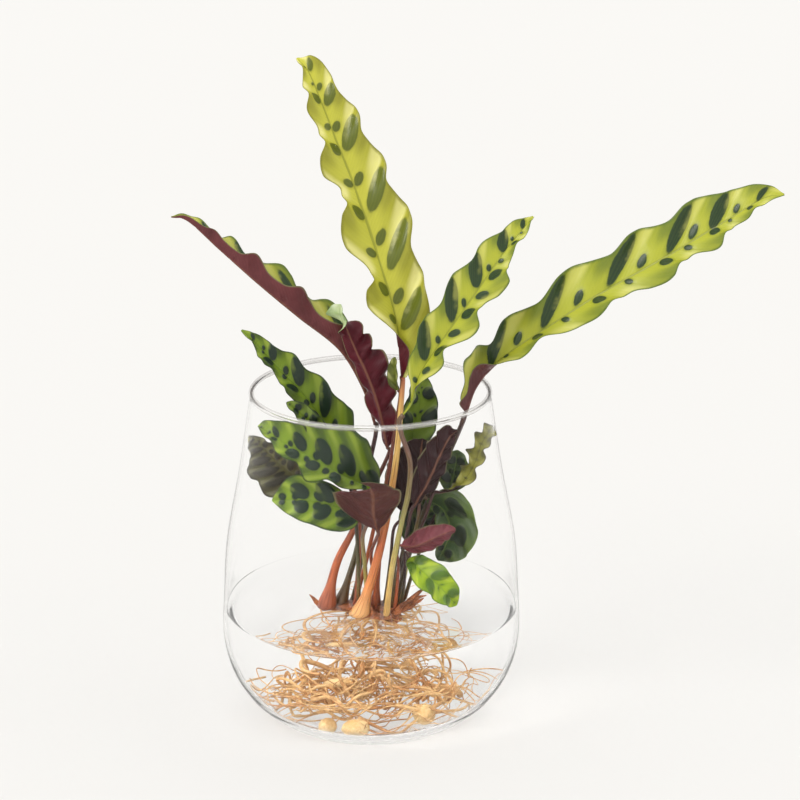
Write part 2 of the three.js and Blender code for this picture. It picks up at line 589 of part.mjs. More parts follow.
function glassVase() {
	const lip = Array.from({ length: 5 }, (_, index) => {
		const angle = (index / 4) * Math.PI;
		return [RIM_RADIUS + RIM_HALF * Math.cos(angle), RIM_TOP - RIM_HALF + RIM_HALF * Math.sin(angle)];
	});
	const inside = smoothOutline(VASE_INSIDE, 9).reverse();
	const outside = smoothOutline(VASE_OUTSIDE, 10);
	return turned([[0, 0], ...outside, ...lip, ...inside, [0, VASE_FLOOR - 0.2]]);
}

/** Radius of the vase's inner wall at a height. */
function insideRadius(height) {
	const above = VASE_INSIDE.findIndex((point) => point[1] >= height);
	const [low, high] = [VASE_INSIDE[above - 1], VASE_INSIDE[above]];
	return THREE.MathUtils.mapLinear(height, low[1], high[1], low[0], high[0]);
}

/** The water between the wall of the vase and the space that the roots fill. */
function water() {
	const wall = WATER_HEIGHTS.map((height) => [insideRadius(height) - WATER_CLEARANCE, height]);
	const ring = [...WELL, ...wall, [WELL[0][0] + 3, WATER_FOOT_HEIGHT]].reverse();
	return turned([...ring, ring[0]]);
}

// The whole plant

function piece(name, geometry, colour, finish = {}) {
	const look = { color: COLOURS[colour], roughness: 0.45, metalness: 0, ...finish };
	const mesh = new THREE.Mesh(geometry, new THREE.MeshStandardMaterial(look));
	mesh.name = name;
	return mesh;
}

const clear = { roughness: 0.03, transparent: true };
const plant = new THREE.Group();
plant.add(piece('glass_vase', glassVase(), 'glass', { ...clear, opacity: 0.25 }));
plant.add(piece('water', water(), 'water', { ...clear, opacity: 0.35 }));
plant.add(piece('crown', crown(), 'crown', { roughness: 0.7 }));
plant.add(piece('roots', roots(), 'root', { roughness: 0.6 }));
for (const leaf of LEAVES) {
	plant.add(piece(leaf.name, blade(leaf), leaf.colour));
	const stalk = bar(stalkCurve(leaf), stalkRadii(leaf), STALK_SIDES, STALK_STEPS);
	plant.add(piece(leaf.name.replace('leaf', 'petiole'), stalk, leaf.stalk));
}

export default plant;
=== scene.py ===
"""Looks of a rattlesnake plant growing in water in a clear glass vase.

The tables are in millimetres, in the frame of the solids: +Z up, the front is -Y, and the origin is the
middle of the vase's foot. Every mesh is scaled to metres when it is made. Angles are in degrees.
"""
import json

import bpy
import numpy as np
from mathutils import Euler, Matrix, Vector


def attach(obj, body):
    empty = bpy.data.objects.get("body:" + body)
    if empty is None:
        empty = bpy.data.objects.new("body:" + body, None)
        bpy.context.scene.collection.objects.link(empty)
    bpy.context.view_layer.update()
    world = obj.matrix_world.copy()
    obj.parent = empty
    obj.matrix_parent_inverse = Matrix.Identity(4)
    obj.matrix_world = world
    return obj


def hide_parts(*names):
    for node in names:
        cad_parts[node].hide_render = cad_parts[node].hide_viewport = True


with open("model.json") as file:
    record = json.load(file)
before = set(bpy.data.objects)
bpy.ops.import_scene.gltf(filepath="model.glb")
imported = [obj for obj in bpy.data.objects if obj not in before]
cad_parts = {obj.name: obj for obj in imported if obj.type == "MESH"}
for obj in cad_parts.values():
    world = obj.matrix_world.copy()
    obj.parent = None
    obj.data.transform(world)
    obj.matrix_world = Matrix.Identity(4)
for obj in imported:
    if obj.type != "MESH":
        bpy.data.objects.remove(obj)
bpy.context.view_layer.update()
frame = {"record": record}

MM = 0.001
SEED = 11
FINE_STEPS = 1200  # of a curve while its length is measured

# Vase and water

FOOT_RADIUS = 61.7
VASE_FLOOR = 4
VASE_OUTSIDE = [  # radius, height
    (FOOT_RADIUS, 0), (69.8, 6), (79.9, 16), (88.8, 32), (93, 52),
    (92.1, 80), (89.4, 115), (80.9, 160), (73.4, 207.6),
]
VASE_INSIDE = [
    (59.5, VASE_FLOOR), (67.6, 8.2), (77.9, 17.6), (86.9, 33), (91.2, 52),
    (90.4, 80), (87.8, 115), (79.3, 160), (71.8, 207.6),
]
WALL_HALF = 0.8  # of the wall's upper end, which stands in the rim
WALL_TOP = 207.6
RIM_RADIUS = 72.6
RIM_HALF = 1.8
RIM_TOP = 210
WATER_LEVEL = 67.5
WATER_GAP = 0.3  # between the water and the glass
MENISCUS = 3  # how far the water climbs at the wall, and how wide its bend is
TURNS = 160  # steps round the vase
RIM_SIDES = 24
GLASS_IOR = 1.14  # less than real glass, which shows dark edges
WATER_SIDE_IOR = 1.04  # less than real water, for the same reason
WATER_TOP_IOR = 1.333
GLASS_SHARE = 0.87  # of the lamps' light that each surface lets through
RIM_SHARE = 0.93
WATER_SHARE = 0.93
PROFILE_STEPS = 90  # of each side of the wall

# Leaves

BLADE_THICKNESS = 0.5
BLADE_END = 0.6
BLADE_WIDEST = 0.42
PLAIN_POINTS = 21  # of a plain edge
BASE_FULLNESS = 0.62
TIP_FULLNESS = 0.55
CREST = 1.7  # shape of a wave
TROUGH = 0.65
CREST_WIDTH_BEHIND = 0.26
CREST_WIDTH_AHEAD = 0.2
CUP = 10
HALF_COLUMNS = 18
LARGE_ROWS = 220
MIDDLE_ROWS = 130
SMALL_ROWS = 70
RIB_WIDTH = 1.1
RIB_HEIGHT = 0.7
BLOTCH_HEIGHT = 0.5
BLOTCH_EDGE = 1.6
VEINS_PER_WAVE = 13
NO_BLOTCH = -9  # a depth outside every blotch
NARROW_REACH = 0.62  # of the widest place: where a blade is narrower, its blotches are smaller


def even_crests(count, start):
    """Places of count even waves and one more, the first one start waves from the foot."""
    return [(index + start) / count for index in range(count + 1)]


def plain(width, widest=BLADE_WIDEST):
    """Edge of an even lance-shaped half blade without its tip: it swells to the widest place as a sine to a
    power, and falls from there in the same way."""
    places = np.linspace(0, 1, PLAIN_POINTS)[:-1]
    rising = np.sin(np.pi / 2 * np.clip(places / widest, 0, 1)) ** BASE_FULLNESS
    falling = np.sin(np.pi / 2 * np.clip((1 - places) / (1 - widest), 0, 1)) ** TIP_FULLNESS
    share = np.where(places < widest, rising, falling)
    return list(zip(places, BLADE_END + (width - BLADE_END) * share))


def half(edge, fold, wave, crests, slant=1.4, large=(3.2, 0.12, 0.85), small=(1.8, 0.08, 0.4), swing=0):
    """One half of a blade: its edge as places along the midrib and half widths there, without the tip, its
    fold up from the midrib and its wave in degrees, where the veins of its wave crests leave the midrib, how
    far a vein runs forward for each step out, and the share by which its margin swings. A large blotch lies
    on each crest and a small one between two crests: half width, then the shares of the way out where it
    starts and ends."""
    return {
        "edge": [*edge, (1, BLADE_END)], "fold": fold, "wave": wave, "crests": crests, "slant": slant,
        "large": large, "small": small, "swing": swing,
    }


def both(*numbers, **named):
    """Two halves that are alike."""
    return {"left": half(*numbers, **named), "right": half(*numbers, **named)}


# spine: the midrib. face: which way the upper side looks. stem: the petiole's route from the crown. thick:
# the petiole's radius at its foot and at the blade. bulb: the radius of its swollen foot, where it has one.
# look and bark: the finishes of blade and petiole.

LEAVES = {
    "top": dict(
        rows=LARGE_ROWS, look="backlit", bark="yellow", thick=(3.4, 1.6), bulb=6.4,
        spine=[
            (19, 2, 216), (15, 0, 254), (5, 3, 290), (-9, 8, 332), (-23, 12, 368), (-35, 16, 398),
            (-43, 20, 408),
        ],
        face=[(0.1, -1, 0.3), (0.4, -0.9, 0.3), (0.4, -0.9, 0.3)],
        left=half([
            (0, 1), (0.08, 9), (0.12, 6), (0.24, 17), (0.3, 20), (0.35, 9), (0.44, 19), (0.53, 21),
            (0.6, 9), (0.66, 17), (0.71, 18), (0.79, 8), (0.86, 12.5), (0.94, 5),
        ], (150, 25, 16, 14, 14), 50, (0.08, 0.257, 0.49, 0.69, 0.85, 0.96), 1.25, (3.6, 0.06, 0.66),
            (2.4, 0.05, 0.32)),
        right=half([
            (0, 3), (0.08, 15), (0.13, 20), (0.25, 24.5), (0.37, 22), (0.46, 29), (0.575, 21), (0.625, 25),
            (0.73, 17), (0.785, 20.5), (0.87, 12.5), (0.91, 12.5), (0.975, 8),
        ], (25, 10, 6), 46, (0.13, 0.305, 0.485, 0.68, 0.825, 0.94), 1.25, (4.6, 0.14, 0.88),
            (2.9, 0.08, 0.38)),
        stem=[(-9, -9, 60), (-6, -11, 68), (3, -12, 99), (8, -10, 120), (11, -9, 136), (16, -7, 170)],
    ),
    "right_long": dict(
        rows=LARGE_ROWS, look="lime", bark="brown", thick=(1.7, 1.5),
        spine=[
            (58, -12, 198), (63, -13, 213), (71, -15, 225), (84, -18, 238), (106, -20, 254),
            (138, -25, 277), (171, -30, 298), (205, -35, 321), (227, -38, 336), (239, -40, 339),
        ],
        face=[
            (-0.9, 0.1, 0.3), (-0.75, 0, 0.6), (-0.45, -0.65, 0.5), (-0.35, -0.8, 0.5), (-0.3, -0.8, 0.5),
            (-0.3, -0.8, 0.5), (-0.3, -0.8, 0.5), (-0.3, -0.8, 0.5), (-0.25, -0.8, 0.55), (-0.2, -0.8, 0.6),
        ],
        left=half([
            (0, 0.8), (0.03, 7), (0.06, 9), (0.1, 19), (0.14, 18), (0.18, 12), (0.242, 19.5), (0.333, 16),
            (0.433, 24), (0.55, 18), (0.625, 24), (0.717, 18), (0.783, 22.5), (0.86, 17), (0.92, 12.5),
            (0.97, 6.5),
        ], (62, 20, 12, 8, 5), 38, (-0.03, 0.135, 0.302, 0.5, 0.67, 0.797, 0.93), 1.35, (3.8, 0.06, 0.96),
            (2.4, 0.1, 0.42)),
        right=half([
            (0, 0.6), (0.03, 8), (0.055, 5), (0.1, 9), (0.14, 11), (0.18, 7), (0.233, 10.5), (0.3, 10),
            (0.4, 12), (0.483, 16.5), (0.558, 9.5), (0.61, 14), (0.675, 18.5), (0.733, 8), (0.808, 15.5),
            (0.858, 6), (0.9, 7.5), (0.94, 4.5),
        ], (60, 24, 18, 18, 18), 40, (0.1, 0.27, 0.45, 0.645, 0.79, 0.9), 1.35, (3, 0.1, 0.6),
            (1.8, 0.05, 0.3)),
        stem=[(16, 7, 61), (22, 12, 90), (38, 10, 140), (51, 4, 173)],
    ),
    "right_mid": dict(
        rows=LARGE_ROWS, look="lime", bark="tan", thick=(1.9, 1.5),
        spine=[
            (20, -22, 200), (25, -23, 209), (28, -24, 220), (32, -25, 230), (48, -27, 255), (64, -28, 279),
            (78, -27, 300), (96, -22, 322),
        ],
        face=[(-0.6, -0.8, 0.2), (-0.2, -0.9, 0.4), (-0.2, -0.9, 0.4)],
        left=half([
            (0, 0.8), (0.06, 1), (0.13, 3), (0.225, 10.5), (0.29, 12), (0.38, 17.5), (0.49, 14),
            (0.6, 18.5), (0.72, 14), (0.78, 14.5), (0.875, 9.5), (0.93, 8),
        ], (35, 10, 5), 34, (0.06, 0.24, 0.44, 0.617, 0.8, 0.93), 1.35, (4.1, 0.1, 1.0), (1.6, 0.06, 0.28)),
        right=half([
            (0, 0.6), (0.08, 5), (0.135, 11.5), (0.175, 7), (0.26, 12), (0.315, 14.5), (0.375, 9.5),
            (0.46, 15), (0.525, 17), (0.6, 9), (0.67, 14), (0.74, 17), (0.79, 7), (0.94, 3.5),
        ], (48, 22, 20), 42, (0.1, 0.29, 0.486, 0.68, 0.85, 0.97), 1.35, (3.2, 0.15, 0.8),
            (2.2, 0.1, 0.45)),
        stem=[(9, -11, 60), (13, -18, 98), (19, -20, 130), (23, -22, 150), (24, -22, 170), (19, -22, 187)],
    ),
    "left_long": dict(
        rows=LARGE_ROWS, look="lime", bark="brown", thick=(2.2, 1.4), bulb=4.5,
        spine=[
            (2, 26, 179), (-5, 23, 203), (-19, 18, 229), (-43, 12, 251), (-67, 8, 273), (-90, 3, 296),
            (-108, 0, 314), (-118, -2, 317),
        ],
        face=[(0.2, 0.3, 1)],
        left=half([
            (0, 0.6), (0.05, 3), (0.15, 10), (0.26, 16), (0.33, 14), (0.417, 9), (0.48, 13), (0.525, 16.5),
            (0.58, 11), (0.633, 9), (0.71, 13.5), (0.76, 7.5), (0.82, 6), (0.86, 7), (0.9, 4.5),
        ], (62, 60, 52), 34, (0.05, 0.23, 0.41, 0.64, 0.83, 0.95)),
        right=half([
            (0, 0.6), (0.05, 4), (0.15, 14), (0.235, 23), (0.275, 18), (0.34, 24), (0.39, 27), (0.45, 20),
            (0.508, 15), (0.56, 22), (0.6, 25.5), (0.65, 20), (0.717, 10.5), (0.79, 17.5), (0.83, 9),
            (0.875, 6.5), (0.917, 8.5), (0.96, 4),
        ], (56, 50, 44), 34, (0.03, 0.215, 0.442, 0.658, 0.852, 0.97), 1.4, (2.2, 0.2, 0.9)),
        stem=[(-21, 4, 61), (-15, 11, 79), (-8, 19, 103), (-3, 22, 143)],
    ),
    "left_purple": dict(
        rows=MIDDLE_ROWS, look="pale", bark="rust", thick=(3.4, 1.2), bulb=6,
        spine=[
            (10, 6, 170), (7, 6, 186), (3, 7, 201), (-2, 8, 215), (-8, 10, 228), (-13, 11, 240),
            (-18, 8.5, 254), (-18, 6, 261),
        ],
        face=[
            (0.1, 1, 0.3), (0.1, 1, 0.3), (0, 1, 0.3), (0, 1, 0.3), (-0.1, 1, 0.3), (-0.2, 0.9, 0.3),
            (-0.2, 0.9, 0.3), (-0.3, 0.9, 0.3), (-0.7, -0.6, 0.3), (-0.4, -0.9, 0.3),
        ],
        left=half([
            (0, 2), (0.03, 6), (0.14, 9), (0.2, 12), (0.28, 14), (0.43, 15), (0.58, 17), (0.635, 11),
            (0.715, 14), (0.74, 9), (0.8, 11.5), (0.84, 6), (0.92, 9), (0.97, 6),
        ], (35, 30, 15, 10), 50, (-0.05, 0.2, 0.36, 0.56, 0.67, 0.78, 0.92), 0.6, (1, 0.1, 0.5),
            (1, 0.1, 0.3), 0.08),
        right=half([
            (0, 1), (0.03, 3), (0.17, 5), (0.25, 8), (0.34, 9.5), (0.39, 6), (0.54, 6.5), (0.74, 5.7),
            (0.92, 5.5),
        ], (40, 30, 20, 10), 26, (0.1, 0.34, 0.54, 0.74, 0.92), 1, (1, 0.1, 0.5), (1, 0.1, 0.3)),
        stem=[(-29, 0, 62), (-22, 2, 93), (-12, 4, 114), (-1, 4, 139)],
    ),
    "left_spotted": dict(
        rows=MIDDLE_ROWS, look="green", bark="rust", thick=(1.6, 1.3),
        spine=[
            (-16, 6, 169), (-30, 0, 190), (-42, -6, 209), (-55, -10, 225), (-67, -12, 240), (-77, -12, 250),
        ],
        face=[(0.2, -0.9, 0.4), (0.3, -0.8, 0.5)],
        left=half([
            (0, 0.7), (0.06, 6), (0.175, 10), (0.22, 6), (0.43, 7), (0.52, 11), (0.585, 13), (0.65, 6.5),
            (0.71, 5.5), (0.79, 9.7), (0.86, 4),
        ], (40, 30, 25), 34, (0.1, 0.27, 0.49, 0.72, 0.9), 1.4, (2.8, 0.1, 0.8), (2, 0.05, 0.4)),
        right=half([
            (0, 1), (0.06, 10), (0.12, 15.5), (0.185, 19), (0.28, 16.5), (0.35, 15.5), (0.425, 17),
            (0.567, 12), (0.66, 14), (0.76, 8.5), (0.88, 6), (0.96, 3),
        ], (20, 5, 5), 34, (0, 0.22, 0.486, 0.729, 0.9), 1.4, (3.8, 0.12, 0.95), (2, 0.1, 0.42)),
        stem=[(-10, 8, 61), (-8, 9, 95), (-8, 9, 127), (-13, 8, 153)],
    ),
    "left_small": dict(
        rows=SMALL_ROWS, look="dark", bark="brown", thick=(1.3, 1.1),
        spine=[(-25, -16, 178), (-35, -21, 192), (-42, -24, 202), (-50, -26, 209)],
        face=[(0.1, -0.9, 0.5)],
        left=half(plain(7), (30, 30), 25, even_crests(3, 0.3), 1.2, (2.2, 0.1, 0.8), (1.2, 0.1, 0.5), 0.13),
        right=half(
            plain(8), (20, 20), 25, even_crests(3, 0.3), 1.2, (2.2, 0.1, 0.8), (1.2, 0.1, 0.5), 0.13,
        ),
        stem=[(-8, -1, 61), (-8, -4, 90), (-9, -5, 120), (-12, -6, 145)],
    ),
    "bud": dict(
        rows=SMALL_ROWS, look="closed", bark="rust", thick=(1.4, 1.1),
        spine=[(17, 5, 207), (15, 3, 216), (15, 2, 229)],
        face=[(-0.5, -0.8, 0.2)],
        **both(plain(5), (42, 30), 14, even_crests(2, 0.3), 1.2, (0.2, 0.2, 0.9), (0.2, 0.1, 0.4), 0.06),
        stem=[(-12, 2, 61), (-3, 0, 97), (3, 0, 124), (10, 1, 151), (14, 4, 175)],
    ),
    "back_dark": dict(
        rows=SMALL_ROWS, look="dark", bark="brown", thick=(1.4, 1.1),
        spine=[(25, 26, 163), (27, 25, 176), (30, 24, 191), (31, 25, 211)],
        face=[(0.1, -1, 0.2)],
        left=half(
            plain(12, 0.3), (40, 20, 15), 24, even_crests(3, 0.7), 1.2, (3.6, 0.3, 0.98), (0.8, 0.1, 0.3),
            0.1,
        ),
        right=half(
            plain(14, 0.3), (35, 15, 10), 24, even_crests(3, 0.9), 1.2, (3.6, 0.3, 0.98), (0.8, 0.1, 0.3),
            0.1,
        ),
        stem=[(11, 12, 61), (17, 18, 101), (24, 25, 140)],
    ),
    "glass_upper": dict(
        rows=MIDDLE_ROWS, look="green", bark="rust", thick=(1.5, 1.3), bulb=3.4,
        spine=[
            (4, -9, 147), (-14, -21, 159), (-26, -26, 168), (-39, -29, 177), (-51, -29.5, 184),
            (-63, -25, 191), (-67, -22, 193),
        ],
        face=[(0.1, -0.9, 0.4), (0.1, -0.9, 0.35), (0.1, -0.9, 0.5)],
        left=half([
            (0, 0.8), (0.04, 4.5), (0.11, 4), (0.36, 8), (0.42, 8), (0.5, 14), (0.55, 16), (0.61, 13),
            (0.66, 7.7), (0.75, 10), (0.85, 5), (0.94, 3),
        ], (20, 20, 25), 26, (0.1, 0.32, 0.493, 0.656, 0.83, 0.97), 1.3, (3.4, 0.1, 0.75), (2, 0.1, 0.35)),
        right=half([
            (0, 1.3), (0.03, 6.5), (0.08, 13.5), (0.2, 20.5), (0.26, 25), (0.35, 28), (0.5, 28),
            (0.58, 21.5), (0.66, 19), (0.82, 13), (0.95, 7), (0.985, 4.5),
        ], (20, 10, 15), 24, (0, 0.2, 0.415, 0.616, 0.824, 0.96), 1.4, (4.4, 0.12, 0.72),
            (2.3, 0.06, 0.28)),
        stem=[(2, 3, 61), (5, 2, 97), (5, -2, 125)],
    ),
    "glass_far": dict(
        rows=MIDDLE_ROWS, look="dull", bark="brown", thick=(1.3, 1.1),
        spine=[(-41, 0, 148), (-56, -5, 163), (-69, -9, 179), (-74, -9, 182)],
        face=[(-0.3, -0.9, 0.2), (-0.4, -0.9, 0.3)],
        left=half([
            (0, 0.6), (0.04, 8), (0.22, 19), (0.32, 21), (0.4, 20), (0.48, 17.3), (0.57, 19.3),
            (0.66, 17.5), (0.77, 10), (0.96, 5.5),
        ], (20, 10), 30, (0, 0.2, 0.38, 0.56, 0.74, 0.92), 0.6, (2.4, 0.1, 0.9), (1.6, 0.1, 0.45)),
        right=half([
            (0, 0.6), (0.07, 3), (0.18, 10), (0.3, 12), (0.43, 13), (0.62, 12), (0.75, 9), (0.87, 4),
        ], (20, 10), 30, (0, 0.26, 0.5, 0.74, 0.95), 0.8, (2.4, 0.1, 0.9), (1.6, 0.1, 0.45)),
        stem=[(-13, 11, 61), (-6, 14, 95), (-8, 13, 120), (-18, 5, 139)],
    ),
    "glass_lower": dict(
        rows=MIDDLE_ROWS, look="green", bark="tan", thick=(1.5, 1.3),
        spine=[(-5, -14, 133), (-18, -17, 138), (-30, -20, 143), (-43, -21, 145), (-60, -20, 144.5)],
        face=[(0, -0.9, 0.3)],
        left=half([
            (0, 0.6), (0.03, 5.5), (0.08, 10.5), (0.23, 15), (0.35, 16), (0.5, 15.5), (0.7, 13),
            (0.87, 7.5),
        ], (15, 10), 14, (0.035, 0.33, 0.603, 0.86), 1.2, (4.4, 0.1, 0.72), (2.2, 0.06, 0.36)),
        right=half([
            (0, 0.6), (0.03, 2.5), (0.1, 6), (0.27, 10), (0.5, 14), (0.73, 16), (0.8, 15), (0.87, 11.5),
        ], (15, 5), 14, (0.03, 0.315, 0.589, 0.84), 1.2, (4.4, 0.14, 0.78), (2.2, 0.06, 0.36)),
        stem=[(-2, -3, 61), (-3, -4, 80), (-4, -9, 100), (-5, -13, 118)],
    ),
    "front_purple": dict(
        rows=SMALL_ROWS, look="green", bark="rust", thick=(1.2, 1.1),
        spine=[(4, -17, 124), (2, -28, 139), (2, -38, 153), (1, -42, 159), (0, -39, 163)],
        face=[(0, 0.9, 0.4), (0, 0.9, 0.4), (0, 0.8, 0.6), (0, 0.5, 0.8)],
        left=half(plain(17, 0.75), (15, 5, -5), 15, even_crests(3, 0.3), swing=0.1),
        right=half(plain(25, 0.75), (15, 5, 0), 15, even_crests(3, 0.3), swing=0.1),
        stem=[(3, -4, 61), (2, -4, 85), (0, -9, 104), (3, -14, 116)],
    ),
    "centre_dark": dict(
        rows=MIDDLE_ROWS, look="dark", bark="brown", thick=(1.2, 1.0),
        spine=[(20, 10, 125), (26, 9, 143), (30, 8, 158), (32, 7, 175)],
        face=[(0.1, 1, 0.2)],
        left=half(plain(15, 0.35), (30, 20), 44, even_crests(5, 0.3), swing=0.13),
        right=half(plain(22, 0.4), (25, 10), 50, even_crests(5, 0.3), swing=0.13),
        stem=[(8, 5, 61), (12, 8, 94), (14, 9, 114)],
    ),
    "right_purple": dict(
        rows=MIDDLE_ROWS, look="dark", bark="brown", thick=(1.3, 1.1),
        spine=[(27, -4, 135), (35, -8, 151), (42, -9, 168), (48, -10, 181), (53, -12, 187)],
        face=[(0.2, 1, 0.3), (0.3, 1, 0.3), (0.3, 0.8, 0.5)],
        left=half(plain(8), (30, 20), 50, even_crests(5, 0.3), swing=0.15),
        right=half(plain(15), (30, 15), 74, even_crests(4, 0.4), swing=0.2),
        stem=[(12, -3, 61), (17, -4, 92), (22, -4, 115)],
    ),
    "right_rippled": dict(
        rows=MIDDLE_ROWS, look="olive", bark="brown", thick=(1.2, 1.0),
        spine=[(43, -2, 143), (53, -5, 147), (60, -7, 156), (65, -8, 167), (68, -8, 177), (75, -7, 188)],
        face=[(0, 0.8, 0.5), (-0.4, -0.6, 0.8), (-0.5, -0.8, 0.3), (-0.5, -0.8, 0.3), (-0.4, -0.8, 0.3)],
        left=half([
            (0, 0.6), (0.1, 3), (0.4, 6), (0.5, 9), (0.53, 4), (0.7, 9), (0.73, 4), (0.86, 8), (0.89, 4),
            (0.97, 6),
        ], (40, 30), 62, (0.2, 0.48, 0.68, 0.84, 1), 0.5, (0.4, 0.1, 0.2), (0.4, 0.1, 0.2)),
        right=half([
            (0, 0.6), (0.1, 3), (0.35, 6), (0.5, 8), (0.6, 6), (0.72, 8), (0.8, 6), (0.92, 7),
        ], (30, 20), 50, (0.2, 0.48, 0.68, 0.84, 1), 0.8, (0.4, 0.1, 0.2), (0.4, 0.1, 0.2)),
        stem=[(14, 0, 61), (23, 1, 97), (33, 0, 124)],
    ),
    "right_upper": dict(
        rows=SMALL_ROWS, look="shade", bark="brown", thick=(1.2, 1.0),
        spine=[(48, 18, 136), (51, 20, 144), (53, 19, 154), (54, 17, 164)],
        face=[(-0.1, -0.9, 0.5)],
        left=half(plain(11), (30, 10), 22, even_crests(2, 0.3), 1, (3.2, 0.15, 0.85), (1.5, 0.1, 0.4), 0.1),
        right=half(
            plain(12), (30, 10), 22, even_crests(2, 0.3), 1, (3.2, 0.15, 0.85), (1.5, 0.1, 0.4), 0.1,
        ),
        stem=[(19, 8, 61), (31, 12, 100), (41, 15, 123)],
    ),
    "right_lower": dict(
        rows=MIDDLE_ROWS, look="shade", bark="tan", thick=(1.2, 1.0),
        spine=[(35, 6, 135), (45, 6, 128), (49, 4, 114), (42, 2, 96)],
        face=[(-0.2, -0.9, 0.4), (0, -1, 0.2)],
        left=half(
            plain(22, 0.35), (35, 15), 30, even_crests(3, 0.3), 0.9, (5, 0.25, 0.75), (2, 0.1, 0.3), 0.06,
        ),
        right=half(
            plain(9), (30, 20), 24, even_crests(3, 0.3), 0.9, (2.8, 0.15, 0.8), (1.4, 0.1, 0.35), 0.1,
        ),
        stem=[(17, 3, 61), (23, 4, 95), (29, 4, 122)],
    ),
    "small_purple": dict(
        rows=SMALL_ROWS, look="green", bark="rust", thick=(1.1, 0.9),
        spine=[(19, -8, 110), (27, -14, 112), (40, -17, 119), (52, -15, 124)],
        face=[(0, 1, 0)],
        **both(plain(9.5), (20, 20), 44, even_crests(4, 0.3), swing=0.13),
        stem=[(14, -7, 60), (16, -8, 80), (17, -7, 97)],
    ),
    "small_green": dict(
        rows=SMALL_ROWS, look="bright", bark="brown", thick=(1.1, 0.9),
        spine=[(24, -6, 101), (32, -16, 96), (43, -20, 87), (53, -20, 75)],
        face=[(0.1, -0.8, 0.6)],
        **both(
            plain(11, 0.5), (15, 15), 30, even_crests(3, 0.3), 0.8, (3, 0.05, 0.95), (0.4, 0.1, 0.3), 0.1,
        ),
        stem=[(17, -4, 61), (20, -4, 77), (21, -4, 89)],
    ),
    "low_back": dict(
        rows=SMALL_ROWS, look="shade", bark="brown", thick=(1.1, 0.9),
        spine=[(22, 20, 101), (29, 21, 110), (37, 20, 122), (43, 19, 133)],
        face=[(-0.1, -0.9, 0.4)],
        left=half(
            plain(17, 0.5), (20, 20), 22, even_crests(3, 0.3), 1.1, (2.4, 0.15, 0.85), (1.2, 0.1, 0.4),
            0.13,
        ),
        right=half(
            plain(15, 0.5), (20, 20), 22, even_crests(3, 0.3), 1.1, (2.4, 0.15, 0.85), (1.2, 0.1, 0.4),
            0.13,
        ),
        stem=[(18, 12, 61), (19, 17, 82), (20, 19, 96)],
    ),
}
GAP = 0.3
STALK_APPROACH = 5  # the last stretch of a petiole runs straight into its blade
STALK_STEPS = 120
STALK_SIDES = 20
TIP_REACH = 0.6  # how far a tube's tip stands past its last ring, against its radius there
BULB_PLACE = 5  # along the petiole from its foot
BULB_LENGTH = 9

# Crown and roots

ROOTSTOCK = [(-31, 0, 61), (-20, 2, 60), (-8, 0, 60), (6, -3, 60), (18, -1, 60), (25, 2, 62)]
ROOTSTOCK_RADII = [3.5, 4.4, 5.4, 6, 5.2, 3]
SWELLINGS = [  # centre, radii
    ((-7, -7, 59), (8, 5.5, 6)), ((7, -8, 58), (9, 6, 6.5)), ((12, 6, 59), (11, 7, 6)),
    ((-15, 6, 60), (7, 6, 5)), ((12, -2, 47), (7, 6, 9)),
]
SCRAPS = [  # place on the rootstock, direction, height
    (14, -8, 10, 14), (17, -6, 30, 18), (20, -3, 50, 12), (22, 0, 5, 15), (20, 4, 20, 20), (8, -10, 80, 9),
    (24, 2, -20, 10), (-30, 2, 150, 13), (-10, -8, 120, 10), (16, -9, 60, 8), (2, -10, 100, 12),
]
SCRAP_FOOT = 60
COLLAR = (2, -1, 52)
COLLAR_RADII = (13, 9, 4)
ROOT_STEPS = 56
ROOT_ROOM = 2.4  # between a root's middle and the glass
ROOT_DEPTH = 3  # of the highest root under the water
TANGLE_PLACE = -22  # of the middle of the loops, on Y
TANGLE_DEPTH = 0.5  # of the loops against their width
TUBERS = [  # place, height over the floor, radii, turn
    ((-9, -55), 0, (8.5, 6, 5.5), 10), ((-26, -51), 0, (6, 5.5, 5), 60), ((32, -42), 3, (7.5, 6.5, 6), 100),
    ((-20, -22), 18, (9, 3, 2.6), 8),
]

# Camera and light

CAMERA_PLACE = (18, -1292, 618)
CAMERA_PITCH = 17.84
CAMERA_LENS = 100
CAMERA_SENSOR = 36
FLOOR_HALF = 14000


# Meshes


def unit(vectors):
    """Each vector divided by its length."""
    return vectors / np.maximum(np.linalg.norm(vectors, axis=-1, keepdims=True), 1e-9)


def smooth_path(knots, places):
    """Points of a Catmull-Rom curve through the knots at places from 0 to 1. Between two knots the curve is
    the cubic whose slope at each knot is half the step from the knot before it to the one after it."""
    knots = np.asarray(knots, float)
    ends = np.vstack([2 * knots[0] - knots[1], knots, 2 * knots[-1] - knots[-2]])
    spot = np.clip(places, 0, 1) * (len(knots) - 1)
    index = np.minimum(spot.astype(int), len(knots) - 2)
    u = (spot - index)[:, None]
    before, start, end, after = (ends[index + step] for step in range(4))
    slope_start, slope_end = (end - before) / 2, (after - start) / 2
    return (
        (2 * u**3 - 3 * u**2 + 1) * start + (u**3 - 2 * u**2 + u) * slope_start
        + (3 * u**2 - 2 * u**3) * end + (u**3 - u**2) * slope_end
    )


def even_path(knots, count):
    """The same curve in count even steps of its length, and that length."""
    fine = smooth_path(knots, np.linspace(0, 1, FINE_STEPS))
    run = np.concatenate([[0], np.cumsum(np.linalg.norm(np.diff(fine, axis=0), axis=1))])
    wanted = np.linspace(0, run[-1], count + 1)
    return np.stack([np.interp(wanted, run, fine[:, axis]) for axis in range(3)], axis=1), run[-1]


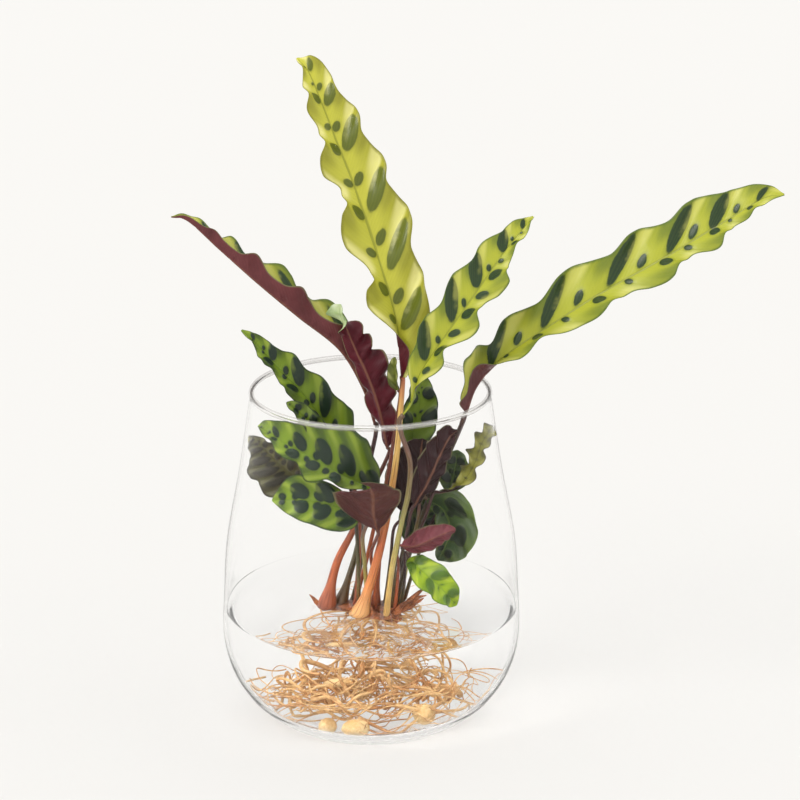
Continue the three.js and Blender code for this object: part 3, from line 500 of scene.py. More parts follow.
def along(values, t):
    """Values that stand evenly from 0 to 1, read at t."""
    values = np.asarray(values, float)
    stops = np.linspace(0, 1, len(values))
    if values.ndim == 1:
        return np.interp(t, stops, values)
    return np.stack([np.interp(t, stops, values[:, axis]) for axis in range(values.shape[1])], axis=1)


def grid_quads(rows, columns, start=0, wrap=False):
    """Corner numbers of the quads of a grid of points numbered row by row. A wrapped grid joins its last
    column to its first. Corners run a, next column, next column of the next row, next row."""
    row, column = np.meshgrid(np.arange(rows - 1), np.arange(columns - (not wrap)), indexing="ij")
    after = (column + 1) % columns
    a = row * columns + column
    b = row * columns + after
    return np.stack([a, b, b + columns, a + columns], axis=-1).reshape(-1, 4) + start


def capped(rings, sides):
    """Faces of a closed body whose points run ring by ring, then its first pole and its last one."""
    here = np.arange(sides)
    after = (here + 1) % sides
    end = (rings - 1) * sides
    first = np.stack([np.full(sides, rings * sides), after, here], axis=1)
    last = np.stack([np.full(sides, rings * sides + 1), end + here, end + after], axis=1)
    return [grid_quads(rings, sides, wrap=True), np.vstack([first, last])]


def make_piece(name, points, faces, maps=None, finishes=(), finish_numbers=None):
    """A smooth mesh object from points in millimetres and lists of faces. Each of the named maps has one
    pair of numbers for each corner of each face, in order."""
    mesh = bpy.data.meshes.new(name)
    corners = np.concatenate([np.asarray(part).ravel() for part in faces])
    sizes = np.concatenate([np.full(len(part), np.asarray(part).shape[1]) for part in faces])
    starts = np.concatenate([[0], np.cumsum(sizes)[:-1]])
    mesh.vertices.add(len(points))
    mesh.vertices.foreach_set("co", (np.asarray(points, float) * MM).astype(np.float32).ravel())
    mesh.loops.add(len(corners))
    mesh.loops.foreach_set("vertex_index", corners.astype(np.int32))
    mesh.polygons.add(len(sizes))
    mesh.polygons.foreach_set("loop_start", starts.astype(np.int32))
    mesh.polygons.foreach_set("use_smooth", np.ones(len(sizes), bool))
    for finish in finishes:
        mesh.materials.append(finish)
    if finish_numbers is not None:
        mesh.polygons.foreach_set("material_index", np.asarray(finish_numbers, np.int32))
    for map_name, pairs in (maps or {}).items():
        mesh.uv_layers.new(name=map_name).data.foreach_set("uv", np.asarray(pairs, np.float32).ravel())
    mesh.update(calc_edges=True)
    mesh.validate()
    piece = bpy.data.objects.new(name, mesh)
    bpy.context.scene.collection.objects.link(piece)
    return piece


def add_piece(piece, slot, *nodes):
    """The piece rides on the plant and stands for the nodes. The slot is not used."""
    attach(piece, "root")
    if nodes:
        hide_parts(*nodes)
    return piece


def turned(profile):
    """Surface of a closed profile of radii and heights turned about the vertical axis: at angle a a profile
    point stands at (radius cos a, radius sin a, height). Profile ends at radius 0 become poles."""
    profile = np.asarray(profile, float)
    angle = np.arange(TURNS) * 2 * np.pi / TURNS
    ring = profile[1:-1]
    points = np.stack([
        ring[:, :1] * np.cos(angle), ring[:, :1] * np.sin(angle), np.repeat(ring[:, 1:], TURNS, axis=1),
    ], axis=-1).reshape(-1, 3)
    points = np.vstack([points, [0, 0, profile[0, 1]], [0, 0, profile[-1, 1]]])
    return points, capped(len(ring), TURNS)


def tubes(paths, radii, sides):
    """Closed round tubes along paths, given as an array of tubes by steps by 3, with a radius at each step.
    A ring's points stand round its step at radius (side cos a + up sin a), where side is square to the
    path and to the direction in which the whole path spreads least, and up is square to both."""
    count, steps = paths.shape[:2]
    forward = unit(np.gradient(paths, axis=1))
    centred = paths - paths.mean(axis=1, keepdims=True)
    least = np.linalg.svd(centred)[2][:, -1]
    side = unit(np.cross(forward, least[:, None]))
    up = np.cross(side, forward)
    angle = np.arange(sides) * 2 * np.pi / sides
    spread = side[:, :, None] * np.cos(angle)[:, None] + up[:, :, None] * np.sin(angle)[:, None]
    rings = paths[:, :, None] + radii[:, :, None, None] * spread
    first_tip = paths[:, :1] - forward[:, :1] * radii[:, :1, None] * TIP_REACH
    last_tip = paths[:, -1:] + forward[:, -1:] * radii[:, -1:, None] * TIP_REACH
    points = np.concatenate([rings.reshape(count, -1, 3), first_tip, last_tip], axis=1)
    offsets = np.arange(count)[:, None, None] * points.shape[1]
    faces = [(part[:, ::-1] + offsets).reshape(-1, part.shape[1]) for part in capped(steps, sides)]
    row, column = np.meshgrid(np.arange(steps - 1), np.arange(sides), indexing="ij")
    around = (column[..., None] + [0, 1, 1, 0]) / sides
    share = (row[..., None] + [1, 1, 0, 0]) / (steps - 1)
    quad_uv = np.stack([around, share], axis=-1).reshape(-1, 2)
    cap_uv = np.repeat([(0, 0), (0.5, 1)], sides * 3, axis=0)
    uv = np.vstack([np.tile(quad_uv, (count, 1)), np.tile(cap_uv, (count, 1))])
    return points.reshape(-1, 3), faces, uv


def egg(centre, radii, turn=0, wrinkle=0, seed=0, rings=24, sides=36):
    """An ellipsoid with its poles above and below, turned about the vertical, whose radius swings by a few
    sines of its angles so that it looks grown."""
    rng = np.random.default_rng(seed)
    tilt = np.linspace(0, np.pi, rings + 1)[1:-1, None]
    angle = np.arange(sides) * 2 * np.pi / sides
    swell = sum(
        rng.uniform(0.3, 1) * np.sin(angle * m + tilt * n + rng.uniform(0, 6.3)) * np.sin(tilt)
        for m, n in ((2, 1), (3, 4), (5, 3), (7, 8))
    )
    size = 1 + wrinkle * swell
    ball = np.stack([
        size * np.sin(tilt) * np.cos(angle),
        size * np.sin(tilt) * np.sin(angle),
        size * np.cos(tilt) + 0 * angle,
    ], axis=-1).reshape(-1, 3)
    ball = np.vstack([ball, [0, 0, 1], [0, 0, -1]]) * radii
    cosine, sine = np.cos(np.radians(turn)), np.sin(np.radians(turn))
    ball = ball @ np.array([[cosine, sine, 0], [-sine, cosine, 0], [0, 0, 1]]) + centre
    return ball, [part[:, ::-1] for part in capped(rings - 1, sides)]


def joined(parts):
    """Several bodies' points and faces as one list of each."""
    points, faces, start = [], [], 0
    for part_points, part_faces in parts:
        points.append(part_points)
        faces.extend(face + start for face in part_faces)
        start += len(part_points)
    return np.vstack(points), faces


# Finishes


def paint(red, green, blue):
    """A colour as it is seen, from 0 to 255, in the linear light that shaders work in."""
    seen = np.array([red, green, blue]) / 255
    light = np.where(seen <= 0.04045, seen / 12.92, ((seen + 0.055) / 1.055) ** 2.4)
    return (*light, 1.0)


class Value:
    """A number or colour that varies over a surface: a node's output. Sums on it add Math nodes."""

    def __init__(self, finish, socket):
        self.finish = finish
        self.socket = socket

    def math(self, operation, *others):
        inputs = dict(enumerate((self, *others)))
        return self.finish.node("ShaderNodeMath", {"operation": operation}, inputs)

    def __add__(self, other):
        return self.math("ADD", other)

    def __mul__(self, other):
        return self.math("MULTIPLY", other)

    def __sub__(self, other):
        return self.math("SUBTRACT", other)

    def __truediv__(self, other):
        return self.math("DIVIDE", other)

    def __abs__(self):
        return self.math("ABSOLUTE")

    __radd__ = __add__
    __rmul__ = __mul__

    def at(self, number):
        """Another output of the same node."""
        return Value(self.finish, self.socket.node.outputs[number])

    def rise(self, low, high):
        """0 below low, 1 above high, and a smooth step between. High may be the lower one."""
        inputs = {"Value": self, "From Min": low, "From Max": high}
        return self.finish.node("ShaderNodeMapRange", {"interpolation_type": "SMOOTHSTEP"}, inputs)


class Finish:
    """A material that is being put together."""

    def __init__(self, name, kind="materials"):
        self.material = getattr(bpy.data, kind).new(name)
        self.material.use_nodes = True
        self.tree = self.material.node_tree
        self.tree.nodes.clear()

    def node(self, kind, settings=None, inputs=None, output=0):
        """Adds a node, sets its settings and then its sockets, and gives one of its outputs."""
        node = self.tree.nodes.new(kind)
        for name, value in (settings or {}).items():
            if name == "stops":
                while len(node.color_ramp.elements) < len(value):
                    node.color_ramp.elements.new(0.5)
                for element, (position, colour) in zip(node.color_ramp.elements, value):
                    element.position = position
                    element.color = colour
            else:
                setattr(node, name, value)
        for name, value in (inputs or {}).items():
            if isinstance(value, Value):
                self.tree.links.new(value.socket, node.inputs[name])
            else:
                node.inputs[name].default_value = value
        return Value(self, node.outputs[output]) if node.outputs else None

    def mix(self, share, first, second):
        """The first colour where share is 0 and the second where it is 1."""
        return self.node("ShaderNodeMix", {"data_type": "RGBA"}, {0: share, 6: first, 7: second}, 2)

    def place(self):
        """Where a point is on the object, in metres."""
        return self.node("ShaderNodeTexCoord", output="Object")

    def noise(self, scale, detail=2, vector=None, stretch=None):
        vector = vector or self.place()
        if stretch is not None:
            vector = self.node("ShaderNodeMapping", inputs={"Vector": vector, "Scale": stretch})
        return self.node("ShaderNodeTexNoise", inputs={"Vector": vector, "Scale": scale, "Detail": detail})

    def bump(self, height, distance, strength=1.0):
        inputs = {"Height": height, "Distance": distance, "Strength": strength}
        return self.node("ShaderNodeBump", inputs=inputs)

    def surface(self, **sockets):
        inputs = {name.replace("_", " "): value for name, value in sockets.items()}
        return self.node("ShaderNodeBsdfPrincipled", inputs=inputs)

    def done(self, shader):
        self.node("ShaderNodeOutputMaterial", inputs={"Surface": shader})
        return self.material


LOOKS = {  # colours of the blade, of the painted highlight on lit folds, towards its margin (also the painted shade on the dark side of folds), of its blotches and of its veins
    # backlit: paler colours than lime, painted light for the top blade, which is lit from behind
    "backlit": ((198, 196, 70), (240, 234, 156), (140, 138, 44), (92, 102, 26), (144, 148, 48)),
    "lime": ((174, 178, 54), (206, 204, 104), (88, 108, 40), (36, 58, 28), (142, 148, 52)),
    "pale": ((196, 210, 160), (220, 228, 200), (150, 178, 120), (170, 190, 130), (160, 186, 120)),
    "green": ((118, 142, 34), (150, 168, 60), (42, 62, 32), (24, 42, 28), (100, 126, 36)),
    "bright": ((140, 164, 28), (172, 188, 50), (80, 110, 26), (72, 102, 26), (106, 136, 30)),
    "olive": ((140, 138, 52), (170, 166, 92), (68, 64, 38), (58, 56, 34), (112, 106, 50)),
    "dark": ((112, 134, 40), (126, 146, 66), (34, 48, 32), (24, 38, 28), (110, 134, 44)),
    # shade: darker colours, painted shade for blades that lie in the shadow of the others
    "shade": ((56, 76, 42), (104, 118, 90), (92, 112, 50), (24, 34, 28), (104, 124, 58)),
    "dull": ((112, 110, 70), (150, 148, 118), (66, 62, 50), (62, 58, 48), (96, 92, 62)),
    "closed": ((118, 126, 50), (182, 184, 116), (74, 82, 40), (96, 104, 44), (132, 136, 62)),
}


def leaf_maps(finish):
    """Wave count, share of the way out and depth in a blotch."""
    vein_map = finish.node("ShaderNodeUVMap", {"uv_map": "veins"})
    mark_map = finish.node("ShaderNodeUVMap", {"uv_map": "marks"})
    vein = finish.node("ShaderNodeSeparateXYZ", inputs={"Vector": vein_map})
    mark = finish.node("ShaderNodeSeparateXYZ", inputs={"Vector": mark_map})
    return vein, vein.at(1), mark


def leaf_upper(name, look):
    """Waxy upper side: blotches on a pale ground that darkens to the margin, fine side veins. Out at the
    margin the folds carry painted light: a painted highlight on the side of each crest that faces the tip,
    on the ground and the blotches, and painted shade on the other side."""
    finish = Finish(f"upper_{name}")
    light, fold_highlight, edge, dark, vein = (paint(*colour) for colour in look)
    count, out, depth = leaf_maps(finish)
    cloud = finish.noise(180, 3)
    ripple = cloud - 0.5
    patch = finish.noise(45, 2) - 0.5
    mask = (depth + ripple * 1.1).rise(-0.3, 0.35)
    halo = (depth + ripple * 1.5).rise(-1.6, 0.2)
    veins = ((count * VEINS_PER_WAVE + ripple * 0.5) * (2 * np.pi)).math("SINE")
    # painted light of the folds: above 0 on the side of each crest that faces the tip, below 0 on the other
    # side
    painted_fold_light = (count * (2 * np.pi)).math("SINE") * out.rise(0.05, 0.9)
    margin = (out + ripple * 0.08).rise(0.88, 1.0)
    shade = (out + patch * 0.9).rise(0.25, 1.15)
    ground = finish.mix(shade * 0.5, light, edge)
    ground = finish.mix((veins * 0.5 + 0.5) * 0.06, ground, vein)
    ground = finish.mix(halo * 0.3, ground, edge)
    # painted highlight on the lit side of each fold, then painted shade on the other side
    ground = finish.mix((painted_fold_light + patch * 0.5).rise(0.1, 0.9) * 0.7, ground, fold_highlight)
    ground = finish.mix((painted_fold_light + patch * 0.5).rise(-0.1, -0.9) * 0.55, ground, edge)
    ground = finish.mix(margin, ground, edge)
    rib = out.rise(0.06, 0.015)
    ground = finish.mix(rib * 0.75, ground, vein)
    blotch = finish.mix((veins * 0.5 + 0.5) * 0.12, dark, edge)
    # painted highlight on the lit side of each blotch
    blotch = finish.mix((painted_fold_light + ripple).rise(0.1, 0.7) * 0.35, blotch, fold_highlight)
    colour = finish.mix(mask, ground, blotch)
    normal = finish.bump(veins * 0.07 + ripple * 0.6 - rib * 0.6, 0.0005, 0.6)
    return finish.done(finish.surface(
        Base_Color=colour, Roughness=ripple * 0.25 + 0.38, Normal=normal, Specular_IOR_Level=0.3,
        Coat_Weight=mask * 0.2 + 0.08, Coat_Roughness=0.2,
        Subsurface_Weight=0.1, Subsurface_Radius=(1.0, 1.0, 0.3), Subsurface_Scale=0.0012,
    ))


def leaf_under(name, tint):
    """Satin underside: maroon, paler along the midrib, with side veins and a thin green rim."""
    finish = Finish(f"under_{name}")
    count, out, _ = leaf_maps(finish)
    ripple = finish.noise(140, 3) - 0.5
    patch = finish.noise(40, 2) - 0.5
    veins = ((count * VEINS_PER_WAVE + ripple * 0.6) * (2 * np.pi)).math("SINE")
    body = finish.mix(ripple * 0.7 + patch * 0.9 + 0.5, paint(*tint), paint(*[part * 0.68 for part in tint]))
    body = finish.mix((veins * 0.5 + 0.5) * 0.14, body, paint(*[part * 0.75 for part in tint]))
    body = finish.mix(out.rise(0.9, 0.98) * 0.75, body, paint(128, 122, 88))
    colour = finish.mix(out.rise(0.08, 0.02) * 0.6, body, paint(136, 92, 72))
    normal = finish.bump(veins * 0.1 + ripple * 0.5, 0.0005, 0.6)
    return finish.done(finish.surface(
        Base_Color=colour, Roughness=ripple * 0.2 + 0.42, Normal=normal, Specular_IOR_Level=0.25,
    ))


BARKS = {  # colours from the foot of a petiole to its blade
    "yellow": [
        (232, 182, 120), (212, 132, 68), (184, 92, 46), (200, 124, 58), (226, 182, 98), (230, 190, 104),
        (190, 110, 70),
    ],
    "tan": [
        (224, 180, 112), (212, 178, 104), (184, 166, 90), (158, 152, 82), (140, 124, 74), (120, 84, 70),
        (110, 84, 60),
    ],
    "rust": [
        (140, 78, 58), (176, 92, 52), (190, 96, 48), (160, 80, 46), (130, 64, 44), (112, 62, 48),
        (104, 60, 48),
    ],
    "brown": [
        (110, 70, 44), (104, 88, 50), (88, 84, 46), (74, 62, 44), (70, 48, 44), (78, 46, 44), (78, 46, 44),
    ],
}


def petiole_bark(name, colours):
    """Waxy stem: its colour changes from foot to blade, with fine streaks along it."""
    finish = Finish(f"petiole_{name}")
    surface_map = finish.node("ShaderNodeUVMap", {"uv_map": "bark"})
    up = finish.node("ShaderNodeSeparateXYZ", inputs={"Vector": surface_map}, output=1)
    stops = [(index / (len(colours) - 1), paint(*colour)) for index, colour in enumerate(colours)]
    blur = finish.noise(60, 2) - 0.5
    body = finish.node("ShaderNodeValToRGB", {"stops": stops}, {"Fac": up + blur * 0.12})
    streaks = finish.noise(6, 3, vector=surface_map, stretch=(4, 1.2, 1)) - 0.5
    darker = finish.node("ShaderNodeMix", {"data_type": "RGBA", "blend_type": "MULTIPLY"},
                         {0: 0.85, 6: body, 7: paint(130, 92, 76)}, 2)
    colour = finish.mix((streaks * 3).rise(-0.1, 0.5) * 0.75, body, darker)
    normal = finish.bump(streaks, 0.0006, 0.4)
    return finish.done(finish.surface(
        Base_Color=colour, Roughness=streaks * 0.3 + 0.36, Normal=normal,
        Coat_Weight=0.3, Coat_Roughness=0.2,
    ))


def see_through(finish, shader, share):
    """Lets a share of the lamps' light through each surface, so that its shadow isn't dark."""
    lamp = finish.node("ShaderNodeLightPath", output="Is Shadow Ray")
    clear = finish.node("ShaderNodeBsdfTransparent", inputs={"Color": (share, share, share, 1)})
    return finish.node("ShaderNodeMixShader", inputs={0: lamp, 1: shader, 2: clear})


def clear_glass():
    """Clear blown glass that hardly bends light, so that its edges stay pale."""
    finish = Finish("glass")
    ripple = finish.noise(9, 1, stretch=(1, 1, 0.6))
    normal = finish.bump(ripple, 0.004, 0.12)
    glass = finish.surface(
        Base_Color=(1, 1, 1, 1), Roughness=0.0, IOR=GLASS_IOR, Transmission_Weight=1.0, Normal=normal,
    )
    return finish.done(see_through(finish, glass, GLASS_SHARE))


def rim_glass():
    """Thick rounded glass with its look painted: a painted bright reflection along its outer side, and a
    painted grey edge above and one below.
    """
    finish = Finish("rim_glass")
    height = finish.node("ShaderNodeSeparateXYZ", inputs={"Vector": finish.place()}, output=2)
    lift = (height / MM - RIM_TOP + RIM_HALF) / RIM_HALF
    # painted grey edges at the top and bottom of the rim, where real glass shows dark refraction
    line = lift.rise(0.72, 0.86) + lift.rise(-0.25, -0.4)
    colour = finish.mix(line, paint(252, 251, 249), paint(150, 144, 138))
    glass = finish.surface(Base_Color=colour, Roughness=0.12, Alpha=line * 0.05 + 0.25)
    return finish.done(see_through(finish, glass, RIM_SHARE))


def clear_water(name, ior):
    """Clear water: it bends light at its open top, and hardly where it lies against the glass."""
    finish = Finish(name)
    ripple = finish.noise(28, 1)
    normal = finish.bump(ripple, 0.001, 0.15)
    water = finish.surface(
        Base_Color=(1, 1, 1, 1), Roughness=0.0, IOR=ior, Transmission_Weight=1.0, Normal=normal,
    )
    return finish.done(see_through(finish, water, WATER_SHARE))


def root_skin(name, pale, deep, scale):
    """Fibrous skin: two tans in long blotches, with fine bumps."""
    finish = Finish(name)
    cloud = finish.noise(scale, 3) - 0.5
    fine = finish.noise(scale * 8, 2) - 0.5
    colour = finish.mix((cloud * 3 + fine + 0.5).rise(0.0, 1.0), paint(*pale), paint(*deep))
    normal = finish.bump(fine, 0.0006, 0.6)
    return finish.done(finish.surface(
        Base_Color=colour, Roughness=fine * 0.3 + 0.55, Normal=normal,
    ))


def floor_finish():
    """Pale paper that glows a little, as a lit sweep does, so that its shadows stay soft."""
    finish = Finish("floor")
    cloud = finish.noise(0.8, 2)
    colour = finish.mix(cloud * 0.5, paint(160, 159, 157), paint(157, 155, 153))
    return finish.done(finish.surface(
        Base_Color=colour, Roughness=0.9, Specular_IOR_Level=0.1, Emission_Color=(1, 0.99, 0.965, 1),
        Emission_Strength=0.5,
    ))


# Leaves and petioles


def edge_width(edge, t):
    """Half widths at t on a smooth curve through the edge's places and widths. Between two points it is the
    cubic whose slope is 0 at a bulge or notch, and elsewhere the harmonic mean of the slopes on both
    sides."""
    place, width = np.array(edge, float).T
    rise = np.diff(width) / np.diff(place)
    before, after = rise[:-1], rise[1:]
    product = before * after
    mean = 2 * product / np.where(product > 0, before + after, 1)
    slope = np.concatenate([rise[:1], np.where(product > 0, mean, 0), rise[-1:]])
    index = np.clip(np.searchsorted(place, t, side="right") - 1, 0, len(place) - 2)
    step = place[index + 1] - place[index]
    u = np.clip((t - place[index]) / step, 0, 1)
    return np.maximum(
        (2 * u**3 - 3 * u**2 + 1) * width[index] + (3 * u**2 - 2 * u**3) * width[index + 1]
        + ((u**3 - 2 * u**2 + u) * slope[index] + (u**3 - u**2) * slope[index + 1]) * step, BLADE_END,
    )


def wave_count(place, crests):
    """Counts the waves up to a place on the midrib, running on evenly past the first and the last crest."""
    crests = np.asarray(crests, float)
    last = len(crests) - 1
    inside = np.interp(place, crests, np.arange(last + 1.0))
    before = (place - crests[0]) / (crests[1] - crests[0])
    after = last + (place - crests[-1]) / (crests[-1] - crests[-2])
    return np.where(place < crests[0], before, np.where(place > crests[-1], after, inside))


def pinch(count):
    """Height of the wave at a count: CREST e^-(p/width)^2 - TROUGH, where p is how far the nearest crest is.
    The side towards the foot is the gentler one."""
    p = (count + 0.5) % 1 - 0.5
    return CREST * np.exp(-((p / np.where(p < 0, CREST_WIDTH_BEHIND, CREST_WIDTH_AHEAD)) ** 2)) - TROUGH


def blotch_depth(side, t, length, far):
    """How deep each point lies in the nearest blotch, in millimetres. A blotch is an ellipse whose long axis
    runs along its vein: depth = b (1 - sqrt((x/a)^2 + (y/b)^2)), with x along the vein and y across it."""
    edge, slant = side["edge"], side["slant"]
    crests = np.array(side["crests"])
    between = (crests[1:] + crests[:-1]) / 2
    root = np.concatenate([crests, between])
    sizes = np.vstack([np.tile(side["large"], (len(crests), 1)), np.tile(side["small"], (len(between), 1))])
    broad, inner, outer = sizes.T
    reach = edge_width(edge, root)
    for _ in range(4):  # closes in on the place where the vein meets the margin
        reach = (reach + edge_width(edge, root + slant * reach / length)) / 2
    stride = np.hypot(1, slant)
    centre = (inner + outer) / 2 * reach
    a = (outer - inner) / 2 * reach * stride
    b = np.minimum(broad * np.minimum(1, reach / (NARROW_REACH * reach.max())), a)
    ahead = (t * length)[:, None, None] - (root * length + slant * centre)
    away = far[..., None] - centre
    x = (ahead * slant + away) / stride
    y = (ahead - slant * away) / stride
    return np.max(b * (1 - np.sqrt((x / a) ** 2 + (y / b) ** 2)), axis=-1)


def across_half(side, t, length):
    """Distances out and up from the midrib, and wave counts, of the points across a half blade. Its slope at
    a share v of the way out is fold + cup v + wave v^0.7 w, and each step out is stretched by 1 + swing w,
    where w is the pinch of the wave count. Veins of equal count run straight, slant forward for each step
    out."""
    reach = edge_width(side["edge"], t)[:, None]
    v = (np.arange(HALF_COLUMNS) + 0.5) / HALF_COLUMNS
    swell = pinch(wave_count(t[:, None] - side["slant"] * reach * v / length, side["crests"]))
    slope = np.radians(along(side["fold"], t)[:, None] + CUP * v + side["wave"] * v**0.7 * swell)
    stretch = reach / HALF_COLUMNS * (1 + side["swing"] * swell)
    start = np.zeros((len(t), 1))
    out = np.hstack([start, np.cumsum(stretch * np.cos(slope), axis=1)])
    up = np.hstack([start, np.cumsum(stretch * np.sin(slope), axis=1)])
    far = reach * np.arange(HALF_COLUMNS + 1) / HALF_COLUMNS
    count = wave_count(t[:, None] - side["slant"] * far / length, side["crests"])
    return out, up, count, far


def blade_mesh(leaf):
    """One blade as a closed shell: points beside the midrib, out along the side direction and up along the
    face direction, then pushed half the thickness to both sides along the sheet's normal. The blotches stand
    up a little, and the underside carries the midrib's ridge, height e^-(distance / width)^2. The first map
    of each corner holds its wave count and its share of the way out, the second its depth in a blotch."""
    rows = leaf["rows"]
    middle, length = even_path(leaf["spine"], rows)
    t = np.linspace(0, 1, rows + 1)
    forward = unit(np.gradient(middle, axis=0))
    face = along(leaf["face"], t) if len(leaf["face"]) > 1 else np.tile(leaf["face"][0], (rows + 1, 1))
    up = unit(face - np.sum(face * forward, axis=1, keepdims=True) * forward)
    side = np.cross(forward, up)
    halves = []
    for key, sign in (("left", -1), ("right", 1)):
        out, rise, count, far = across_half(leaf[key], t, length)
        sheet = middle[:, None] + sign * out[..., None] * side[:, None] + rise[..., None] * up[:, None]
        halves.append((sheet, count, far, blotch_depth(leaf[key], t, length, far)))
    left, right = halves
    sheet, _, distance, depth = (np.concatenate([a[:, :0:-1], b], axis=1) for a, b in zip(left, right))
    edge = np.abs(np.linspace(-1, 1, 2 * HALF_COLUMNS + 1))
    normal = unit(np.cross(np.gradient(sheet, axis=1), np.gradient(sheet, axis=0)))
    swelling = np.clip(depth / BLOTCH_EDGE + 0.5, 0, 1)
    sheet = sheet + normal * (BLOTCH_HEIGHT * swelling**2 * (3 - 2 * swelling))[..., None]
    thickness = BLADE_THICKNESS * (1 - 0.5 * edge**4)
    rib = RIB_HEIGHT * (1 - t[:, None]) ** 0.7 * np.exp(-(distance / RIB_WIDTH) ** 2)
    above = sheet + normal * (thickness / 2)[None, :, None]
    below = sheet - normal * (thickness / 2 + rib)[..., None]
    columns = 2 * HALF_COLUMNS + 1
    under = (rows + 1) * columns
    quads = grid_quads(rows + 1, columns)
    number = np.arange(under).reshape(rows + 1, columns)
    border = np.concatenate([number[0, :-1], number[:-1, -1], number[-1, :0:-1], number[:0:-1, 0]])
    after = np.roll(border, -1)
    rim = np.stack([border, border + under, after + under, after], axis=1)
    faces = [quads, quads[:, ::-1] + under, rim]
    on_right = (quads[:, 0] % columns >= HALF_COLUMNS)[:, None]

    def by_half(kind):
        """A value at each corner, read on the half that the quad lies in."""
        blank = np.zeros((rows + 1, HALF_COLUMNS))
        on_left = np.concatenate([left[kind][:, ::-1], blank], axis=1).ravel()[quads]
        beside = np.concatenate([blank, right[kind]], axis=1).ravel()[quads]
        return np.where(on_right, beside, on_left)

    edges = np.broadcast_to(edge, (rows + 1, columns)).ravel()[quads]
    maps = []
    for first, second, at_rim in ((by_half(1), edges, (0.5, 1)), (by_half(3), 0 * edges, (NO_BLOTCH, 0))):
        corners = np.stack([first, second], axis=-1)
        rim_corners = np.tile(at_rim, (rim.size, 1))
        maps.append(np.vstack([corners.reshape(-1, 2), corners[:, ::-1].reshape(-1, 2), rim_corners]))
    numbers = np.concatenate([np.zeros(len(quads)), np.ones(len(quads)), np.zeros(len(rim))])
    return np.vstack([above.reshape(-1, 3), below.reshape(-1, 3)]), faces, maps, numbers


def stalk_mesh(leaf):
    """A petiole: a tube from the crown to just short of the blade, with a swollen sheath at its foot."""
    middle, _ = even_path(leaf["spine"], 200)
    forward = unit(middle[1] - middle[0])
    foot = np.asarray(leaf["spine"][0], float)
    route = [*leaf["stem"], foot - forward * STALK_APPROACH, foot - forward * GAP]
    path, length = even_path(route, STALK_STEPS)
    base, top = leaf["thick"]
    away = np.linspace(0, length, len(path))
    radii = top + (base - top) * (1 - away / length) ** 1.5
    bulb = leaf.get("bulb", base * 1.15) - base
    radii = radii + bulb * np.exp(-((away - BULB_PLACE) / BULB_LENGTH) ** 2)
    return tubes(path[None], radii[None], STALK_SIDES)


# one maroon underside in lighter and darker tones, as each is lit: painted light on the pale ones, painted
# shade on the dark ones
UNDERSIDES = {
    "left_long": (122, 62, 64), "left_purple": (98, 24, 37), "front_purple": (94, 48, 47),
    "top": (96, 28, 36), "small_purple": (130, 62, 70), "right_long": (112, 66, 66),
    "right_purple": (58, 29, 31),
}
# painted shade: the dark underside of every blade not listed above
SHADED_UNDERSIDE = (48, 22, 22)
SLOTS = {node["node"]: node["material_slot"] for node in frame["record"]["subparts"]}


def make_leaves():
    """All blades and petioles, with one finish for each look, bark and underside."""
    uppers = {name: leaf_upper(name, look) for name, look in LOOKS.items()}
    barks = {name: petiole_bark(name, colours) for name, colours in BARKS.items()}
    under = leaf_under("plain", SHADED_UNDERSIDE)
    for name, leaf in LEAVES.items():
        below = leaf_under(name, UNDERSIDES[name]) if name in UNDERSIDES else under
        points, faces, maps, numbers = blade_mesh(leaf)
        maps = dict(zip(("veins", "marks"), maps))
        blade = make_piece(f"blade_{name}", points, faces, maps, [uppers[leaf["look"]], below], numbers)
        add_piece(blade, SLOTS[f"leaf_{name}"], f"leaf_{name}")
        points, faces, uv = stalk_mesh(leaf)
        stalk = make_piece(f"stalk_{name}", points, faces, {"bark": uv}, [barks[leaf["bark"]]])
        add_piece(stalk, SLOTS[f"petiole_{name}"], f"petiole_{name}")


# Crown and roots


def make_crown():
    """The rootstock with its swellings and the dry scraps of old sheaths that stand on it."""
    finish = root_skin("crown_skin", (186, 112, 66), (104, 58, 36), 110)
    path, _ = even_path(ROOTSTOCK, 60)
    share = np.linspace(0, 1, len(path))
    radii = along(ROOTSTOCK_RADII, share) * (1 + 0.06 * np.sin(share * 60))
    points, faces, _ = tubes(path[None], radii[None], 28)
    parts = [(points, faces)]
    for index, (centre, swelling) in enumerate(SWELLINGS):
        parts.append(egg(centre, swelling, wrinkle=0.07, seed=index))
    rng = np.random.default_rng(SEED)
    scraps = []
    for x, y, lean, height in SCRAPS:
        out = np.array([np.cos(np.radians(lean)), -0.4 * np.sin(np.radians(lean)), 0])
        sway = rng.uniform(-1.5, 1.5, (4, 3))
        steps = np.array([0, 0.35, 0.7, 1])[:, None]
        knots = (x, y, SCRAP_FOOT) + (out * 0.8 * steps**0.5 + (0, 0, 1)) * height * steps + sway * steps
        scraps.append(even_path(knots, 24)[0])
    scraps = np.stack(scraps)
    radii = np.tile(along([2.2, 2.6, 1.8, 1.1, 0.3], np.linspace(0, 1, scraps.shape[1])), (len(scraps), 1))
    points, faces, _ = tubes(scraps, radii, 12)
    parts.append((points, faces))
    crown = make_piece("rootstock", *joined(parts), finishes=[finish])
    add_piece(crown, "crown", "crown")


